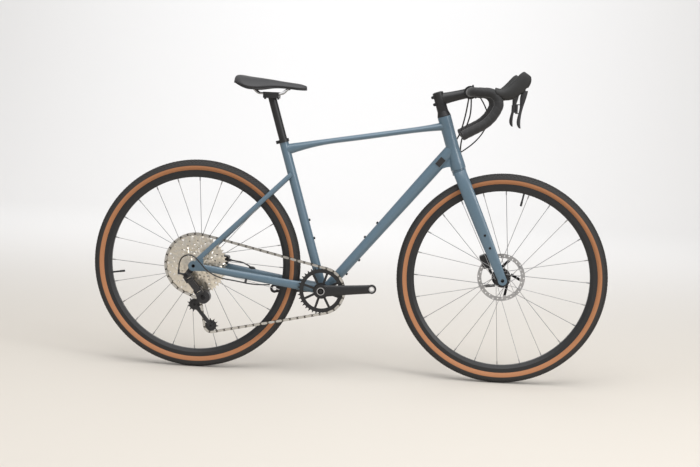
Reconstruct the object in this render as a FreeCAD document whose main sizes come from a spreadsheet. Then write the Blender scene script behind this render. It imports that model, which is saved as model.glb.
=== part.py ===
import FreeCAD, Part
import math
import os

import Sketcher

# A gravel bike in millimetres: X forward, Y to the rider's left, Z up, origin on the ground
# midway between the axles. The drive train is on the right, at negative Y.

# Driving sizes, in millimetres and degrees, grouped by the piece that they belong to.
SIZES = {
    # Frame geometry
    "wheelbase": 1025, "wheel_radius": 351, "chainstay_length": 432, "bb_drop": 65,
    "head_angle": 72, "seat_angle": 73, "fork_length": 390, "fork_offset": 43,
    # Small gaps: between seated pieces, in running fits, and the overrun of cuts
    "seat_gap": 0.1, "running_gap": 0.05, "side_gap": 0.3, "overrun": 2,
    # Head tube
    "head_tube_length": 181, "head_top_diameter": 45, "head_waist_diameter": 43,
    "head_low_diameter": 50, "head_wall": 2.6, "bearing_height": 8,
    # Main tubes
    "top_tube_width": 36, "top_tube_height": 19, "top_tube_wall": 1.5,
    "top_tube_head_height": 32, "top_tube_seat_height": 38,
    "top_tube_head_place": 149, "top_tube_seat_place": 492,
    "down_tube_width": 44, "down_tube_height": 34, "down_tube_head_width": 40,
    "down_tube_head_height": 41, "down_tube_wall": 1.6, "down_tube_head_place": 73, "down_tube_drop": 9,
    "gusset_width": 26, "gusset_length": 52,
    "seat_tube_diameter": 31, "seatpost_diameter": 27.2, "seat_tube_length": 519,
    # Bottom bracket
    "shell_width": 68, "shell_diameter": 42, "shell_wall": 3.4, "cup_diameter": 44, "cup_width": 10,
    "spindle_diameter": 24,
    # Stays and dropouts
    "chainstay_start": 16, "chainstay_start_spread": 23, "chainstay_yoke": 84, "chainstay_yoke_spread": 34,
    "chainstay_start_height": 33, "chainstay_yoke_height": 29, "chainstay_end_height": 22,
    "chainstay_mid_height": 25, "chainstay_mid_width": 16, "chainstay_start_width": 20,
    "chainstay_yoke_width": 14, "chainstay_end_width": 8, "stay_wall": 1.2,
    "seatstay_place": 400, "seatstay_top_spread": 13, "seatstay_yoke_spread": 33, "seatstay_width": 13,
    "seatstay_height": 16, "seatstay_end_ahead": 20, "seatstay_end_width": 8,
    "rear_spacing": 142, "dropout_thickness": 8, "dropout_radius": 17,
    "dropout_front": 33, "dropout_top": 27, "axle_diameter": 12, "axle_head_radius": 8.5,
    "axle_head_height": 3, "hanger_back": 18, "hanger_drop": 29, "hanger_radius": 9.5, "hanger_bolt_radius": 5,
    # Seatpost, collar and saddle
    "collar_height": 11, "collar_thickness": 3.2, "collar_slot": 2, "collar_lug": 8,
    "post_wall": 2.2, "post_insert": 100, "post_head_height": 15, "clamp_width": 56, "clamp_length": 52,
    "clamp_thickness": 5, "clamp_bolt_radius": 2.6, "clamp_nut_radius": 3.6, "clamp_bolt_place": 22,
    "rail_diameter": 7, "rail_spread": 22, "rail_front_spread": 11, "rail_back_spread": 26, "rail_height": 932,
    "rail_front": 246, "rail_back": 324, "rail_front_end": 226, "rail_back_end": 344, "rail_rise": 18,
    "rail_bend": 16, "socket_radius": 6, "socket_length": 18,
    "saddle_tail": 404, "saddle_length": 240, "saddle_width": 142, "saddle_nose_top": 964, "saddle_tail_rise": 27,
    "saddle_pad": 13, "saddle_shell": 4, "saddle_skirt": 38, "saddle_lip": 2,
    # Fork
    "steerer_diameter": 28.6, "steerer_wall": 2.2, "race_diameter": 37, "race_height": 30, "crown_drop": 16,
    "crown_diameter": 47, "crown_gap": 1.5, "tyre_room": 6, "tyre_channel": 54, "fork_crown_start": 7,
    "fork_crown_spread": 20, "fork_shoulder": 46, "fork_shoulder_spread": 39, "blade_crown_width": 34,
    "blade_width": 22, "blade_middle_width": 17, "blade_middle_spread": 51.5, "blade_lower_width": 11,
    "blade_tip_width": 12, "blade_height": 43, "blade_middle_height": 41, "blade_lower_height": 35,
    "blade_tip_height": 28, "hub_room": 0.6, "blade_wall": 2.4, "fork_spacing": 100,
    "fork_end_radius": 15,
    # Headset, stem and bar
    "cover_height": 18, "spacer_height": 19, "spacer_diameter": 36, "stem_length": 103.5, "stem_angle": 2.8,
    "stem_clamp_height": 42, "stem_clamp_diameter": 36, "stem_height": 33, "stem_width": 32,
    "bar_clamp_diameter": 31.8, "bar_clamp_length": 84, "bar_clamp_taper": 10, "stem_face_width": 44,
    "stem_face_radius": 22, "stem_split": 1, "face_window": 20, "cap_height": 5, "bolt_radius": 2.5,
    "bolt_head_radius": 4, "bolt_head_height": 4, "pinch_place": 12,
    "bar_diameter": 23.8, "bar_wall": 2, "bar_half_width": 198, "bar_hood_half_width": 206, "bar_top_bend": 42,
    "bar_reach": 106, "bar_front_bend": 36, "bar_drop": 90, "bar_drop_ahead": 64, "bar_drop_half_width": 217,
    "bar_drop_bend": 120, "bar_end_drop": 138, "bar_end_back": 22, "bar_end_half_width": 232,
    "tape_diameter": 31, "tape_start": 58, "plug_length": 6, "plug_stub": 14,
    # Control levers
    "hood_start": 72, "hood_length": 98.5, "hood_rise": 63, "hood_height": 50, "hood_width": 34,
    "hood_half_width": 203, "hood_toe": 7, "lever_ahead": 160, "lever_rise": 10, "lever_length": 118,
    "lever_sway": 14, "lever_width": 13, "lever_thickness": 9, "lever_eye_radius": 7, "lever_pin_radius": 2.5,
    "lever_flare": 8, "slot_back": 24, "slot_front": 40, "slot_low": 50, "slot_room": 1.8, "paddle_place": 58,
    "paddle_back": 18, "paddle_pin_radius": 1.8, "paddle_knuckle_radius": 4, "paddle_height": 24,
    "paddle_length": 16, "paddle_thickness": 3.5, "paddle_ear": 3,
    # Wheels
    "tyre_width": 40, "tyre_wall": 2, "bead_radius": 311, "bead_inner": 5.5, "rim_inner_radius": 292,
    "rim_width": 25, "rim_flange": 1.8, "rim_flange_height": 6, "rim_bed": 1.6, "rim_keel_width": 12,
    "rim_shoulder": 8, "spoke_radius": 1, "nipple_radius": 2, "nipple_length": 12, "flange_pitch_radius": 22,
    "flange_radius": 26, "flange_thickness": 3, "flange_crossing": 12, "hub_radius": 13, "hub_cap_radius": 10,
    "valve_radius": 3, "valve_length": 26, "valve_cap_radius": 3.6, "valve_cap_length": 16, "valve_seat_radius": 5,
    "front_valve_angle": 78.4, "rear_valve_angle": 188.7,
    "front_flange_left": 21, "front_flange_right": 33, "rear_flange_left": 35, "rear_flange_right": 16,
    "hub_end": 3, "rotor_radius": 80, "rotor_band": 14, "rotor_thickness": 1.8, "rotor_inset": 15,
    "rotor_carrier_radius": 32, "rotor_arm": 9, "rotor_hole": 2.8, "rotor_seat": 17, "rotor_shoulder": 20,
    "lock_thickness": 3,
    # Brake callipers
    "caliper_width": 34, "caliper_length": 46, "caliper_height": 26, "caliper_shift": 6, "caliper_corner": 6,
    "pad_thickness": 2.4, "pad_length": 24, "pad_height": 12, "pad_gap": 0.4, "rotor_room": 1.5,
    "front_caliper_place": 70, "rear_caliper_place": 73,
    # Drive train
    "pitch": 12.7, "roller_radius": 3.8, "tooth_gap": 0.15, "tooth_height": 2.9, "tooth_land": 1.2,
    "root_half_width": 2.9, "chainline": 48.5, "ring_thickness": 1.8, "ring_band": 13, "ring_hub_radius": 27,
    "ring_bore": 15, "ring_arm": 8, "crank_length": 170, "crank_angle": 5.4, "crank_boss_radius": 21,
    "crank_height": 40, "crank_waist": 33, "crank_end_height": 29, "crank_end_radius": 15, "crank_thickness": 13,
    "crank_end_thickness": 11, "crank_inset": 53, "crank_flare": 7, "pedal_hole_radius": 7.1,
    "crank_boss_rise": 1.2, "crank_cap_radius": 13, "crank_cap_height": 1.5, "pedal_insert_radius": 9.5,
    "cog_pitch": 3.65, "cog_thickness": 1.6, "largest_cog_place": 27.5, "freehub_radius": 14.5,
    "cog_step": 6, "cog_arm": 10, "plate_thickness": 0.9, "plate_half_height": 4.1,
    "plate_end": 4, "inner_width": 2.3, "pin_radius": 1.8, "chain_gap": 0.08,
    # Rear derailleur
    "guide_drop": 136, "cage_length": 90, "cage_angle": -51, "pulley_thickness": 2, "pulley_hub_radius": 5,
    "pulley_hub_width": 6.4, "pulley_bolt_radius": 2.6, "cage_thickness": 1.8, "cage_arm": 11,
    "cage_end_radius": 9, "cage_pivot_ahead": 34.5, "cage_pivot_drop": 105, "cage_shaft_radius": 5,
    "link_length": 48, "link_angle": 22, "link_start": 18, "link_outer_side": 98, "link_inner_side": 80,
    "link_thickness": 7, "link_height": 20, "link_pin_radius": 2, "ear_thickness": 3, "ear_radius": 6.5,
    "link_end_radius": 5, "block_start": 1.5,
    "knuckle_radius": 10, "clutch_radius": 22, "clutch_inner_side": 36, "clutch_outer_side": 66,
    "barrel_radius": 3.4, "barrel_length": 16, "barrel_back": 28, "barrel_rise": 4,
    # Cables and small fittings
    "hose_diameter": 5, "housing_diameter": 4.4, "bottle_boss_radius": 4.2, "bottle_boss_height": 2.2,
    "bottle_boss_bore": 1.8, "bottle_spacing": 63, "down_boss_place": 227, "under_boss_place": 93,
    "seat_boss_place": 173, "port_place": 582, "port_length": 30, "port_height": 19, "port_reach": 22.4,
    "clip_radius": 4,
}

# Tooth counts, spokes and other whole numbers.
RING_TEETH = 38
COG_TEETH = (51, 45, 39, 33, 28, 24, 21, 18, 16, 14, 12, 10)
PULLEY_TEETH = 11
SPOKES = 24
SPOKE_LEAD = 4
RING_ARMS = 8
ROTOR_ARMS = 5
ROTOR_HOLES = 30

doc = FreeCAD.newDocument("gravel_bike")
sheet = doc.addObject("Spreadsheet::Sheet", "sizes")
for row, (alias, amount) in enumerate(SIZES.items(), start=1):
    sheet.set(f"A{row}", alias)
    sheet.set(f"B{row}", str(amount))
    sheet.setAlias(f"B{row}", alias)
doc.recompute()

Vec = FreeCAD.Vector
FORWARD, LEFT, UP = Vec(1, 0, 0), Vec(0, 1, 0), Vec(0, 0, 1)


class Length(float):
    """A number that remembers the sheet formula it comes from."""

    def __new__(cls, value, formula):
        number = super().__new__(cls, value)
        number.formula = formula
        return number

    def joined(self, sign, other, value, swapped=False):
        words = getattr(other, "formula", repr(float(other)))
        first, second = (words, self.formula) if swapped else (self.formula, words)
        return Length(value, f"({first} {sign} {second})")

    def __add__(self, other):
        return self.joined("+", other, float(self) + float(other))

    def __radd__(self, other):
        return self.joined("+", other, float(other) + float(self), swapped=True)

    def __sub__(self, other):
        return self.joined("-", other, float(self) - float(other))

    def __rsub__(self, other):
        return self.joined("-", other, float(other) - float(self), swapped=True)

    def __mul__(self, other):
        return self.joined("*", other, float(self) * float(other))

    __rmul__ = __mul__

    def __truediv__(self, other):
        return self.joined("/", other, float(self) / float(other))

    def __neg__(self):
        return Length(-float(self), f"(-{self.formula})")


class Sizes:
    """Reads the driving sizes from the sheet by their aliases."""

    def __getattr__(self, alias):
        return Length(float(sheet.get(alias)), f"sizes.{alias}")


S = Sizes()
nodes = []


# Small helpers that place, bind and keep the document's objects

def bind(target, **sizes):
    for name, length in sizes.items():
        target.setExpression(name, length.formula)


def keep(part, label):
    """Registers a finished sub-part under the name of its file."""
    part.Label = label
    nodes.append(part)
    return part


def facing(point, direction):
    return FreeCAD.Placement(point, FreeCAD.Rotation(UP, direction))


def sideways(point):
    """A placement that lays a turned piece's axis along +Y."""
    return FreeCAD.Placement(point, FreeCAD.Rotation(FORWARD, -90))


def feature(name, shape, place=None):
    part = doc.addObject("Part::Feature", name)
    part.Shape = shape
    if place:
        part.Placement = place
    return part


def cylinder(name, radius, height, place):
    part = doc.addObject("Part::Cylinder", name)
    bind(part, Radius=radius, Height=height)
    part.Placement = place
    return part


def box(name, length, width, height, place):
    """A block centred on its placement."""
    part = doc.addObject("Part::Box", name)
    bind(part, Length=length, Width=width, Height=height)
    part.Placement = place.multiply(FreeCAD.Placement(Vec(-length / 2, -width / 2, -height / 2), FreeCAD.Rotation()))
    return part


def fuse(name, parts):
    whole = doc.addObject("Part::MultiFuse", name)
    whole.Shapes = parts
    return whole


def cut(name, base, tools):
    for count, tool in enumerate(tools, start=1):
        step = doc.addObject("Part::Cut", name if count == len(tools) else f"{name}_trim_{count}")
        step.Base = base
        step.Tool = tool
        base = step
    return base


def outline(body, name, plane, loops):
    """A sketch of straight-sided loops whose corners follow the sheet."""
    sketch = body.newObject("Sketcher::SketchObject", name)
    sketch.AttachmentSupport = [(next(f for f in body.Origin.OriginFeatures if f.Role == plane), "")]
    sketch.MapMode = "FlatFace"
    for corners in loops:
        first = sketch.GeometryCount
        ends = corners[1:] + corners[:1]
        for start, end in zip(corners, ends):
            sketch.addGeometry(Part.LineSegment(Vec(*start, 0), Vec(*end, 0)), False)
        for side in range(len(corners)):
            after = first + (side + 1) % len(corners)
            sketch.addConstraint(Sketcher.Constraint("Coincident", first + side, 2, after, 1))
        for side, corner in enumerate(corners):
            for kind, axis, length in (("DistanceX", -2, corner[0]), ("DistanceY", -1, corner[1])):
                if length == 0:
                    sketch.addConstraint(Sketcher.Constraint("PointOnObject", first + side, 1, axis))
                    continue
                place = sketch.addConstraint(Sketcher.Constraint(kind, -1, 1, first + side, 1, float(length)))
                sketch.setExpression(f"Constraints[{place}]", length.formula)
    return sketch


def turned(name, loops, place):
    """A body turned about its own Z axis from loops of (radius, height) corners."""
    body = doc.addObject("PartDesign::Body", name)
    profile = outline(body, f"{name}_profile", "XZ_Plane", loops)
    turn = body.newObject("PartDesign::Revolution", f"{name}_turn")
    turn.Profile = profile
    turn.ReferenceAxis = (profile, ["V_Axis"])
    turn.Angle = 360
    body.Placement = place
    return body


def ring(name, inner, outer, low, high, place):
    return turned(name, [[(inner, low), (outer, low), (outer, high), (inner, high)]], place)


def oval(name, centre, across, up, width, height):
    """An oval section: a unit circle scaled to its width and height."""
    normal = across.cross(up)
    wide, tall = across * (width / 2), up * (height / 2)
    matrix = FreeCAD.Matrix(
        wide.x, tall.x, normal.x, centre.x,
        wide.y, tall.y, normal.y, centre.y,
        wide.z, tall.z, normal.z, centre.z,
        0, 0, 0, 1)
    return feature(name, Part.Wire(Part.Circle(Vec(), UP, 1).toShape()).transformGeometry(matrix))


def lofted(name, sections):
    loft = doc.addObject("Part::Loft", name)
    loft.Sections = sections
    loft.Solid = True
    return loft


def oval_loft(name, stations, shrink=0):
    """A loft through (centre, across, up, width, height) stations, drawn in by twice a wall."""
    travel = stations[-1][0] - stations[0][0]
    sections = []
    for count, (centre, across, up, width, height) in enumerate(stations, start=1):
        upright = up if across.cross(up).dot(travel) > 0 else -up
        sections.append(oval(
            f"{name}_section_{count}", centre, across, upright, width - 2 * shrink, height - 2 * shrink))
    return lofted(name, sections)


def tube(name, stations, wall, trims):
    """A hollow tube through oval stations, mitred against its neighbours."""
    outside = oval_loft(f"{name}_outside", stations)
    inside = oval_loft(f"{name}_inside", stations, wall)
    return cut(name, outside, [inside] + trims)


def bent(corners, radii):
    """A wire of straight runs joined by tangent arcs of the given radii."""
    edges = []
    start = corners[0]
    for before, corner, after, radius in zip(corners, corners[1:], corners[2:], radii):
        arrive = (corner - before).normalize()
        leave = (after - corner).normalize()
        half_turn = arrive.getAngle(leave) / 2
        reach = radius * math.tan(half_turn)
        enter, leave_at = corner - arrive * reach, corner + leave * reach
        inward = (leave - arrive).normalize()
        middle = corner + inward * (radius / math.cos(half_turn) - radius)
        edges.append(Part.LineSegment(start, enter).toShape())
        edges.append(Part.Arc(enter, middle, leave_at).toShape())
        start = leave_at
    edges.append(Part.LineSegment(start, corners[-1]).toShape())
    return Part.Wire(edges)


def swept(name, wire, radius):
    """A round bar or hose along a wire."""
    path = feature(f"{name}_path", wire)
    first = wire.OrderedEdges[0]
    section = doc.addObject("Part::Circle", f"{name}_section")
    bind(section, Radius=radius)
    section.Placement = facing(first.valueAt(first.FirstParameter), first.tangentAt(first.FirstParameter))
    sweep = doc.addObject("Part::Sweep", name)
    sweep.Sections = [section]
    sweep.Spine = (path, [f"Edge{count}" for count in range(1, len(wire.Edges) + 1)])
    sweep.Solid = True
    return sweep


def group(name, parts):
    """Separate solids that share a node."""
    together = doc.addObject("Part::Compound", name)
    together.Links = parts
    return together


def surface_point(solid, start, direction, reach):
    """Where a line from inside a solid comes out of it."""
    line = Part.LineSegment(start, start + direction * reach).toShape()
    ends = solid.common(line).Vertexes
    return max((vertex.Point for vertex in ends), key=lambda point: (point - start).Length)


def mirrored(point, side):
    return Vec(point.x, point.y * side, point.z)


# Main points of the frame

rear_axle = Vec(-S.wheelbase / 2, 0, S.wheel_radius)
front_axle = Vec(S.wheelbase / 2, 0, S.wheel_radius)
bb_back = math.sqrt(S.chainstay_length ** 2 - S.bb_drop ** 2)
bb = Vec(rear_axle.x + bb_back, 0, S.wheel_radius - S.bb_drop)
head_turn, seat_turn = math.radians(S.head_angle), math.radians(S.seat_angle)
steer_up = Vec(-math.cos(head_turn), 0, math.sin(head_turn))
steer_ahead = Vec(math.sin(head_turn), 0, math.cos(head_turn))
seat_up = Vec(-math.cos(seat_turn), 0, math.sin(seat_turn))
head_low = front_axle + steer_up * S.fork_length - steer_ahead * S.fork_offset
SIDES = {"left": 1, "right": -1}


def on_steerer(height):
    return head_low + steer_up * height


def on_seat_tube(place):
    return bb + seat_up * place


# Head tube: turned, waisted between its two bearing seats
HEAD_LOW_SHARE, HEAD_WAIST_LOW_SHARE, HEAD_WAIST_HIGH_SHARE, HEAD_TOP_SHARE = 0.1, 0.4, 0.7, 0.92
head_top_radius, head_low_radius = S.head_top_diameter / 2, S.head_low_diameter / 2
head_waist_radius = S.head_waist_diameter / 2
head_outside = [
    (head_low_radius, 0 * S.head_tube_length),
    (head_low_radius, S.head_tube_length * HEAD_LOW_SHARE),
    (head_waist_radius, S.head_tube_length * HEAD_WAIST_LOW_SHARE),
    (head_waist_radius, S.head_tube_length * HEAD_WAIST_HIGH_SHARE),
    (head_top_radius, S.head_tube_length * HEAD_TOP_SHARE),
    (head_top_radius, S.head_tube_length)]
upper_bore, lower_bore = head_top_radius - S.head_wall, head_low_radius - S.head_wall
middle_bore = head_waist_radius - 2 * S.head_wall
head_inside = [
    (upper_bore, S.head_tube_length),
    (upper_bore, S.head_tube_length - S.bearing_height),
    (middle_bore, S.head_tube_length - S.bearing_height),
    (middle_bore, S.head_tube_length * HEAD_WAIST_LOW_SHARE),
    (lower_bore - S.head_wall, S.bearing_height),
    (lower_bore, S.bearing_height),
    (lower_bore, 0 * S.head_tube_length)]
head_place = facing(head_low, steer_up)
keep(turned("head_tube", [head_outside + head_inside], head_place), "head_tube")
head_envelope = turned("head_envelope", [
    [(0, 0)] + head_outside + [(0, S.head_tube_length)]], head_place)

# Headset bearings: the upper one round the steerer, the lower one round the crown race
steerer_radius, race_radius = S.steerer_diameter / 2, S.race_diameter / 2
upper_bearing = ring(
    "upper_bearing", steerer_radius + S.running_gap, upper_bore - S.running_gap,
    S.head_tube_length - S.bearing_height + S.running_gap, S.head_tube_length, head_place)
lower_bearing = ring(
    "lower_bearing", race_radius + S.running_gap, lower_bore - S.running_gap,
    0 * S.bearing_height, S.bearing_height - S.running_gap, head_place)

# Solid outlines of the seat tube and shell, which the other tubes are mitred against
shell_radius, seat_tube_radius = S.shell_diameter / 2, S.seat_tube_diameter / 2
shell_envelope = cylinder(
    "shell_envelope", shell_radius, S.shell_width * 2, sideways(bb - LEFT * S.shell_width))
seat_envelope = cylinder("seat_envelope", seat_tube_radius, S.seat_tube_length, facing(bb, seat_up))

# Seat tube, bored for the seatpost
seat_bore = cylinder(
    "seat_bore", S.seatpost_diameter / 2 + S.running_gap, S.seat_tube_length + S.overrun, facing(bb, seat_up))
keep(cut("seat_tube", seat_envelope, [seat_bore, shell_envelope]), "seat_tube")

# Top tube: a flat oval that swells at the head tube and hangs a web below it at the seat tube
TOP_WEB_SHARES = ((0, 1), (0.06, 0.66), (0.12, 0.38), (0.19, 0.14), (0.27, 0))
TOP_STRAIGHT_SHARES, TOP_SWELL_SHARE = (0.4, 0.6, 0.8), 0.92
top_start, top_end = on_seat_tube(S.top_tube_seat_place), on_steerer(S.top_tube_head_place)
top_run = top_end - top_start
top_up = Vec(top_run).normalize().cross(LEFT)


def top_station(share, height, width, hang):
    return top_start + top_run * share - top_up * hang, LEFT, top_up, width, height


web_depth, swell = S.top_tube_seat_height - S.top_tube_height, S.top_tube_head_height - S.top_tube_height
seat_width = S.seat_tube_diameter - S.overrun
top_stations = [
    top_station(along, S.top_tube_height + web_depth * deep,
                S.top_tube_width + (seat_width - S.top_tube_width) * deep, web_depth * deep / 2)
    for along, deep in TOP_WEB_SHARES]
top_stations += [top_station(along, S.top_tube_height, S.top_tube_width, 0) for along in TOP_STRAIGHT_SHARES]
top_stations += [top_station(TOP_SWELL_SHARE, S.top_tube_height + swell / 3, S.top_tube_width, 0),
                 top_station(1, S.top_tube_head_height, S.top_tube_width, 0)]
keep(tube("top_tube", top_stations, S.top_tube_wall, [head_envelope, seat_envelope]), "top_tube")

# Down tube: wide at the shell, deep at the head tube, with a curved gusset below the head joint
DOWN_MIDDLE_SHARE, DOWN_DEEP_SHARE = 0.5, 0.85
down_end = on_steerer(S.down_tube_head_place)
down_up = (down_end - bb).normalize().cross(LEFT)
down_start = bb - down_up * S.down_tube_drop
down_run = down_end - down_start
down_middle_height = (S.down_tube_height + S.down_tube_head_height) / 2
down_stations = [
    (down_start + down_run * share, LEFT, down_up, width, height) for share, width, height in (
        (0, S.down_tube_width, S.down_tube_height),
        (DOWN_MIDDLE_SHARE, S.down_tube_width, down_middle_height),
        (DOWN_DEEP_SHARE, S.down_tube_head_width, S.down_tube_head_height),
        (1, S.down_tube_head_width, S.down_tube_head_height))]
GUSSET_RISE_SHARE, GUSSET_TOP_SHARE = 0.16, 1 / 2.2
down_along = Vec(down_run).normalize()
gusset_top = down_end - down_up * (S.down_tube_head_height * GUSSET_TOP_SHARE)
gusset_back = gusset_top - down_along * (S.gusset_length + head_low_radius)
gusset_front = on_steerer(S.bearing_height / 2)
gusset_middle = (gusset_back + gusset_front) / 2 + down_up * (S.gusset_length * GUSSET_RISE_SHARE)
gusset_face = Part.Face(Part.Wire([
    Part.Arc(gusset_back, gusset_middle, gusset_front).toShape(),
    Part.LineSegment(gusset_front, down_end).toShape(),
    Part.LineSegment(down_end, gusset_back).toShape()]))
gusset_face.translate(-LEFT * (S.gusset_width / 2))
gusset = feature("gusset", gusset_face.extrude(LEFT * S.gusset_width))
down_outside = fuse("down_tube_outside", [oval_loft("down_tube_skin", down_stations), gusset])
down_inside = oval_loft("down_tube_inside", down_stations, S.down_tube_wall)
keep(cut("down_tube", down_outside, [down_inside, head_envelope, shell_envelope, seat_envelope]), "down_tube")

# Bottom bracket shell and its outboard cups
bb_place = sideways(bb)
shell_bore, half_shell = shell_radius - S.shell_wall, S.shell_width / 2
keep(ring("bottom_bracket_shell", shell_bore, shell_radius, -half_shell, half_shell, bb_place),
     "bottom_bracket_shell")
spindle_radius, cup_face = S.spindle_diameter / 2, half_shell + S.cup_width
bearings = [upper_bearing, lower_bearing]
for name, side in SIDES.items():
    bearings.append(turned(f"{name}_cup", [[
        (spindle_radius + S.running_gap, side * half_shell / 2),
        (shell_bore - S.seat_gap, side * half_shell / 2),
        (shell_bore - S.seat_gap, side * half_shell),
        (S.cup_diameter / 2, side * half_shell),
        (S.cup_diameter / 2, side * cup_face),
        (spindle_radius + S.running_gap, side * cup_face)]], bb_place))
keep(group("frame_bearings", bearings), "frame_bearings")

# Chainstays: ovals that narrow past the tyre and ring, then flare out to the dropouts
CHAINSTAY_MIDDLE_SHARE = 0.55
stay_along = (rear_axle - bb).normalize()
half_rear, dropout_middle = S.rear_spacing / 2, S.rear_spacing / 2 + S.dropout_thickness / 2
stay_end = rear_axle + FORWARD * S.dropout_front
stay_end.z = bb.z + (rear_axle.z - bb.z) * (bb.x - stay_end.x) / bb_back
stays = []
for name, side in SIDES.items():
    yoke = bb + stay_along * S.chainstay_yoke + LEFT * (side * S.chainstay_yoke_spread)
    end = stay_end + LEFT * (side * dropout_middle)
    stations = [
        (bb + stay_along * S.chainstay_start + LEFT * (side * S.chainstay_start_spread), LEFT, UP,
         S.chainstay_start_width, S.chainstay_start_height),
        (yoke, LEFT, UP, S.chainstay_yoke_width, S.chainstay_yoke_height),
        (yoke + (end - yoke) * CHAINSTAY_MIDDLE_SHARE, LEFT, UP, S.chainstay_mid_width, S.chainstay_mid_height),
        (end, LEFT, UP, S.chainstay_end_width, S.chainstay_end_height)]
    stays.append(tube(f"chainstay_{name}", stations, S.stay_wall, [shell_envelope, seat_envelope]))
keep(group("chainstays", stays), "chainstays")

# Seatstays: dropped well below the top tube, spread round the tyre
SEATSTAY_YOKE_SHARE, SEATSTAY_LOW_SHARE = 0.24, 0.8
stay_top = on_seat_tube(S.seatstay_place)
stay_foot = rear_axle + FORWARD * S.seatstay_end_ahead + UP * S.dropout_top
seatstay_run = stay_foot - stay_top
seatstay_up = LEFT.cross(Vec(seatstay_run).normalize())
foot_length = S.seatstay_height * seatstay_run.Length / abs(seatstay_run.z)
stays = []
for name, side in SIDES.items():
    spread = side * S.seatstay_yoke_spread
    foot_spread = side * dropout_middle
    low_spread = spread + (foot_spread - spread) * SEATSTAY_LOW_SHARE
    stations = [
        (stay_top + LEFT * (side * S.seatstay_top_spread), LEFT, seatstay_up,
         S.seatstay_width, S.seatstay_height),
        (stay_top + seatstay_run * SEATSTAY_YOKE_SHARE + LEFT * spread, LEFT, seatstay_up,
         S.seatstay_width, S.seatstay_height),
        (stay_top + seatstay_run * SEATSTAY_LOW_SHARE + LEFT * low_spread, LEFT, seatstay_up,
         S.seatstay_width, S.seatstay_height),
        (stay_foot + LEFT * foot_spread, LEFT, -FORWARD, S.seatstay_end_width, foot_length)]
    stays.append(tube(f"seatstay_{name}", stations, S.stay_wall, [seat_envelope]))
keep(group("seatstays", stays), "seatstays")

# Dropouts: an eye round the axle with an arm to each stay
STAY_ARM_SHARE = 1.3
axle_radius = S.axle_diameter / 2
dropouts = []
for name, side in SIDES.items():
    inner = rear_axle + LEFT * (half_rear if side > 0 else -half_rear - S.dropout_thickness)
    middle = rear_axle + LEFT * (side * dropout_middle)
    eye = cylinder(f"{name}_dropout_eye", S.dropout_radius, S.dropout_thickness, sideways(inner))
    arm = box(f"{name}_chainstay_arm", S.dropout_front, S.dropout_thickness, S.chainstay_end_height,
              FreeCAD.Placement(middle + FORWARD * (S.dropout_front / 2) + UP * (stay_end.z - rear_axle.z),
                                FreeCAD.Rotation()))
    post = box(f"{name}_seatstay_arm", S.seatstay_end_ahead * STAY_ARM_SHARE, S.dropout_thickness, S.dropout_top,
               FreeCAD.Placement(middle + FORWARD * S.seatstay_end_ahead + UP * (S.dropout_top / 2),
                                 FreeCAD.Rotation()))
    hole = cylinder(f"{name}_axle_hole", axle_radius + S.running_gap, S.dropout_thickness * 2,
                    sideways(inner - LEFT * (S.dropout_thickness / 2)))
    dropouts.append(cut(f"{name}_dropout", fuse(f"{name}_dropout_plate", [eye, arm, post]), [hole]))
keep(group("rear_dropouts", dropouts), "rear_dropouts")

# Derailleur hanger: a tongue behind and below the right dropout, with a hole for the derailleur bolt
hanger_point = rear_axle - FORWARD * S.hanger_back - UP * S.hanger_drop
hanger_inner = -LEFT * (half_rear + S.dropout_thickness)
hanger_eye = cylinder("hanger_eye", S.hanger_radius, S.dropout_thickness, sideways(hanger_point + hanger_inner))
hanger_run = hanger_point - rear_axle
hanger_tongue = box(
    "hanger_tongue", 2 * S.hanger_radius, S.dropout_thickness, Length(hanger_run.Length, repr(hanger_run.Length)),
    FreeCAD.Placement(rear_axle + hanger_run / 2 + hanger_inner + LEFT * (S.dropout_thickness / 2),
                      FreeCAD.Rotation(UP, Vec(-hanger_run.x, 0, -hanger_run.z))))
hanger_room = cylinder(
    "hanger_room", S.dropout_radius + S.running_gap, S.dropout_thickness * 2,
    sideways(rear_axle + hanger_inner - LEFT * (S.dropout_thickness / 2)))
hanger_hole = cylinder(
    "hanger_hole", S.hanger_bolt_radius + S.running_gap, S.dropout_thickness * 2,
    sideways(hanger_point + hanger_inner - LEFT * (S.dropout_thickness / 2)))
keep(cut("derailleur_hanger", fuse("hanger_plate", [hanger_eye, hanger_tongue]), [hanger_room, hanger_hole]),
     "derailleur_hanger")


def thru_axle(name, centre, half_width):
    """A hollow bolt through both dropouts, with a low head on the left."""
    bore = axle_radius - S.axle_head_height / 2
    return turned(name, [[
        (bore, -half_width), (axle_radius, -half_width), (axle_radius, half_width),
        (S.axle_head_radius, half_width), (S.axle_head_radius, half_width + S.axle_head_height),
        (bore, half_width + S.axle_head_height)]], sideways(centre))


keep(thru_axle("rear_thru_axle", rear_axle, half_rear + S.dropout_thickness), "rear_thru_axle")

# Seat collar: a split clamp ring with a bolt lug behind
collar_inner, collar_outer = seat_tube_radius + S.seat_gap, seat_tube_radius + S.seat_gap + S.collar_thickness
collar_place = facing(on_seat_tube(S.seat_tube_length - S.collar_height), seat_up)
collar_ring = ring("collar_ring", collar_inner, collar_outer, 0 * S.collar_height, S.collar_height, collar_place)
collar_lug = box(
    "collar_lug", S.collar_lug, S.collar_lug * 2, S.collar_height,
    collar_place.multiply(FreeCAD.Placement(
        Vec(-collar_outer - S.collar_lug / 4, 0, S.collar_height / 2), FreeCAD.Rotation())))
collar_room = cylinder(
    "collar_room", collar_inner, S.collar_height * 2,
    collar_place.multiply(FreeCAD.Placement(Vec(0, 0, -S.collar_height / 2), FreeCAD.Rotation())))
collar_slot = box(
    "collar_slot", S.collar_lug * 3, S.collar_slot, S.collar_height * 2,
    collar_place.multiply(FreeCAD.Placement(
        Vec(-collar_outer - S.collar_lug / 4, 0, S.collar_height / 2), FreeCAD.Rotation())))
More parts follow.
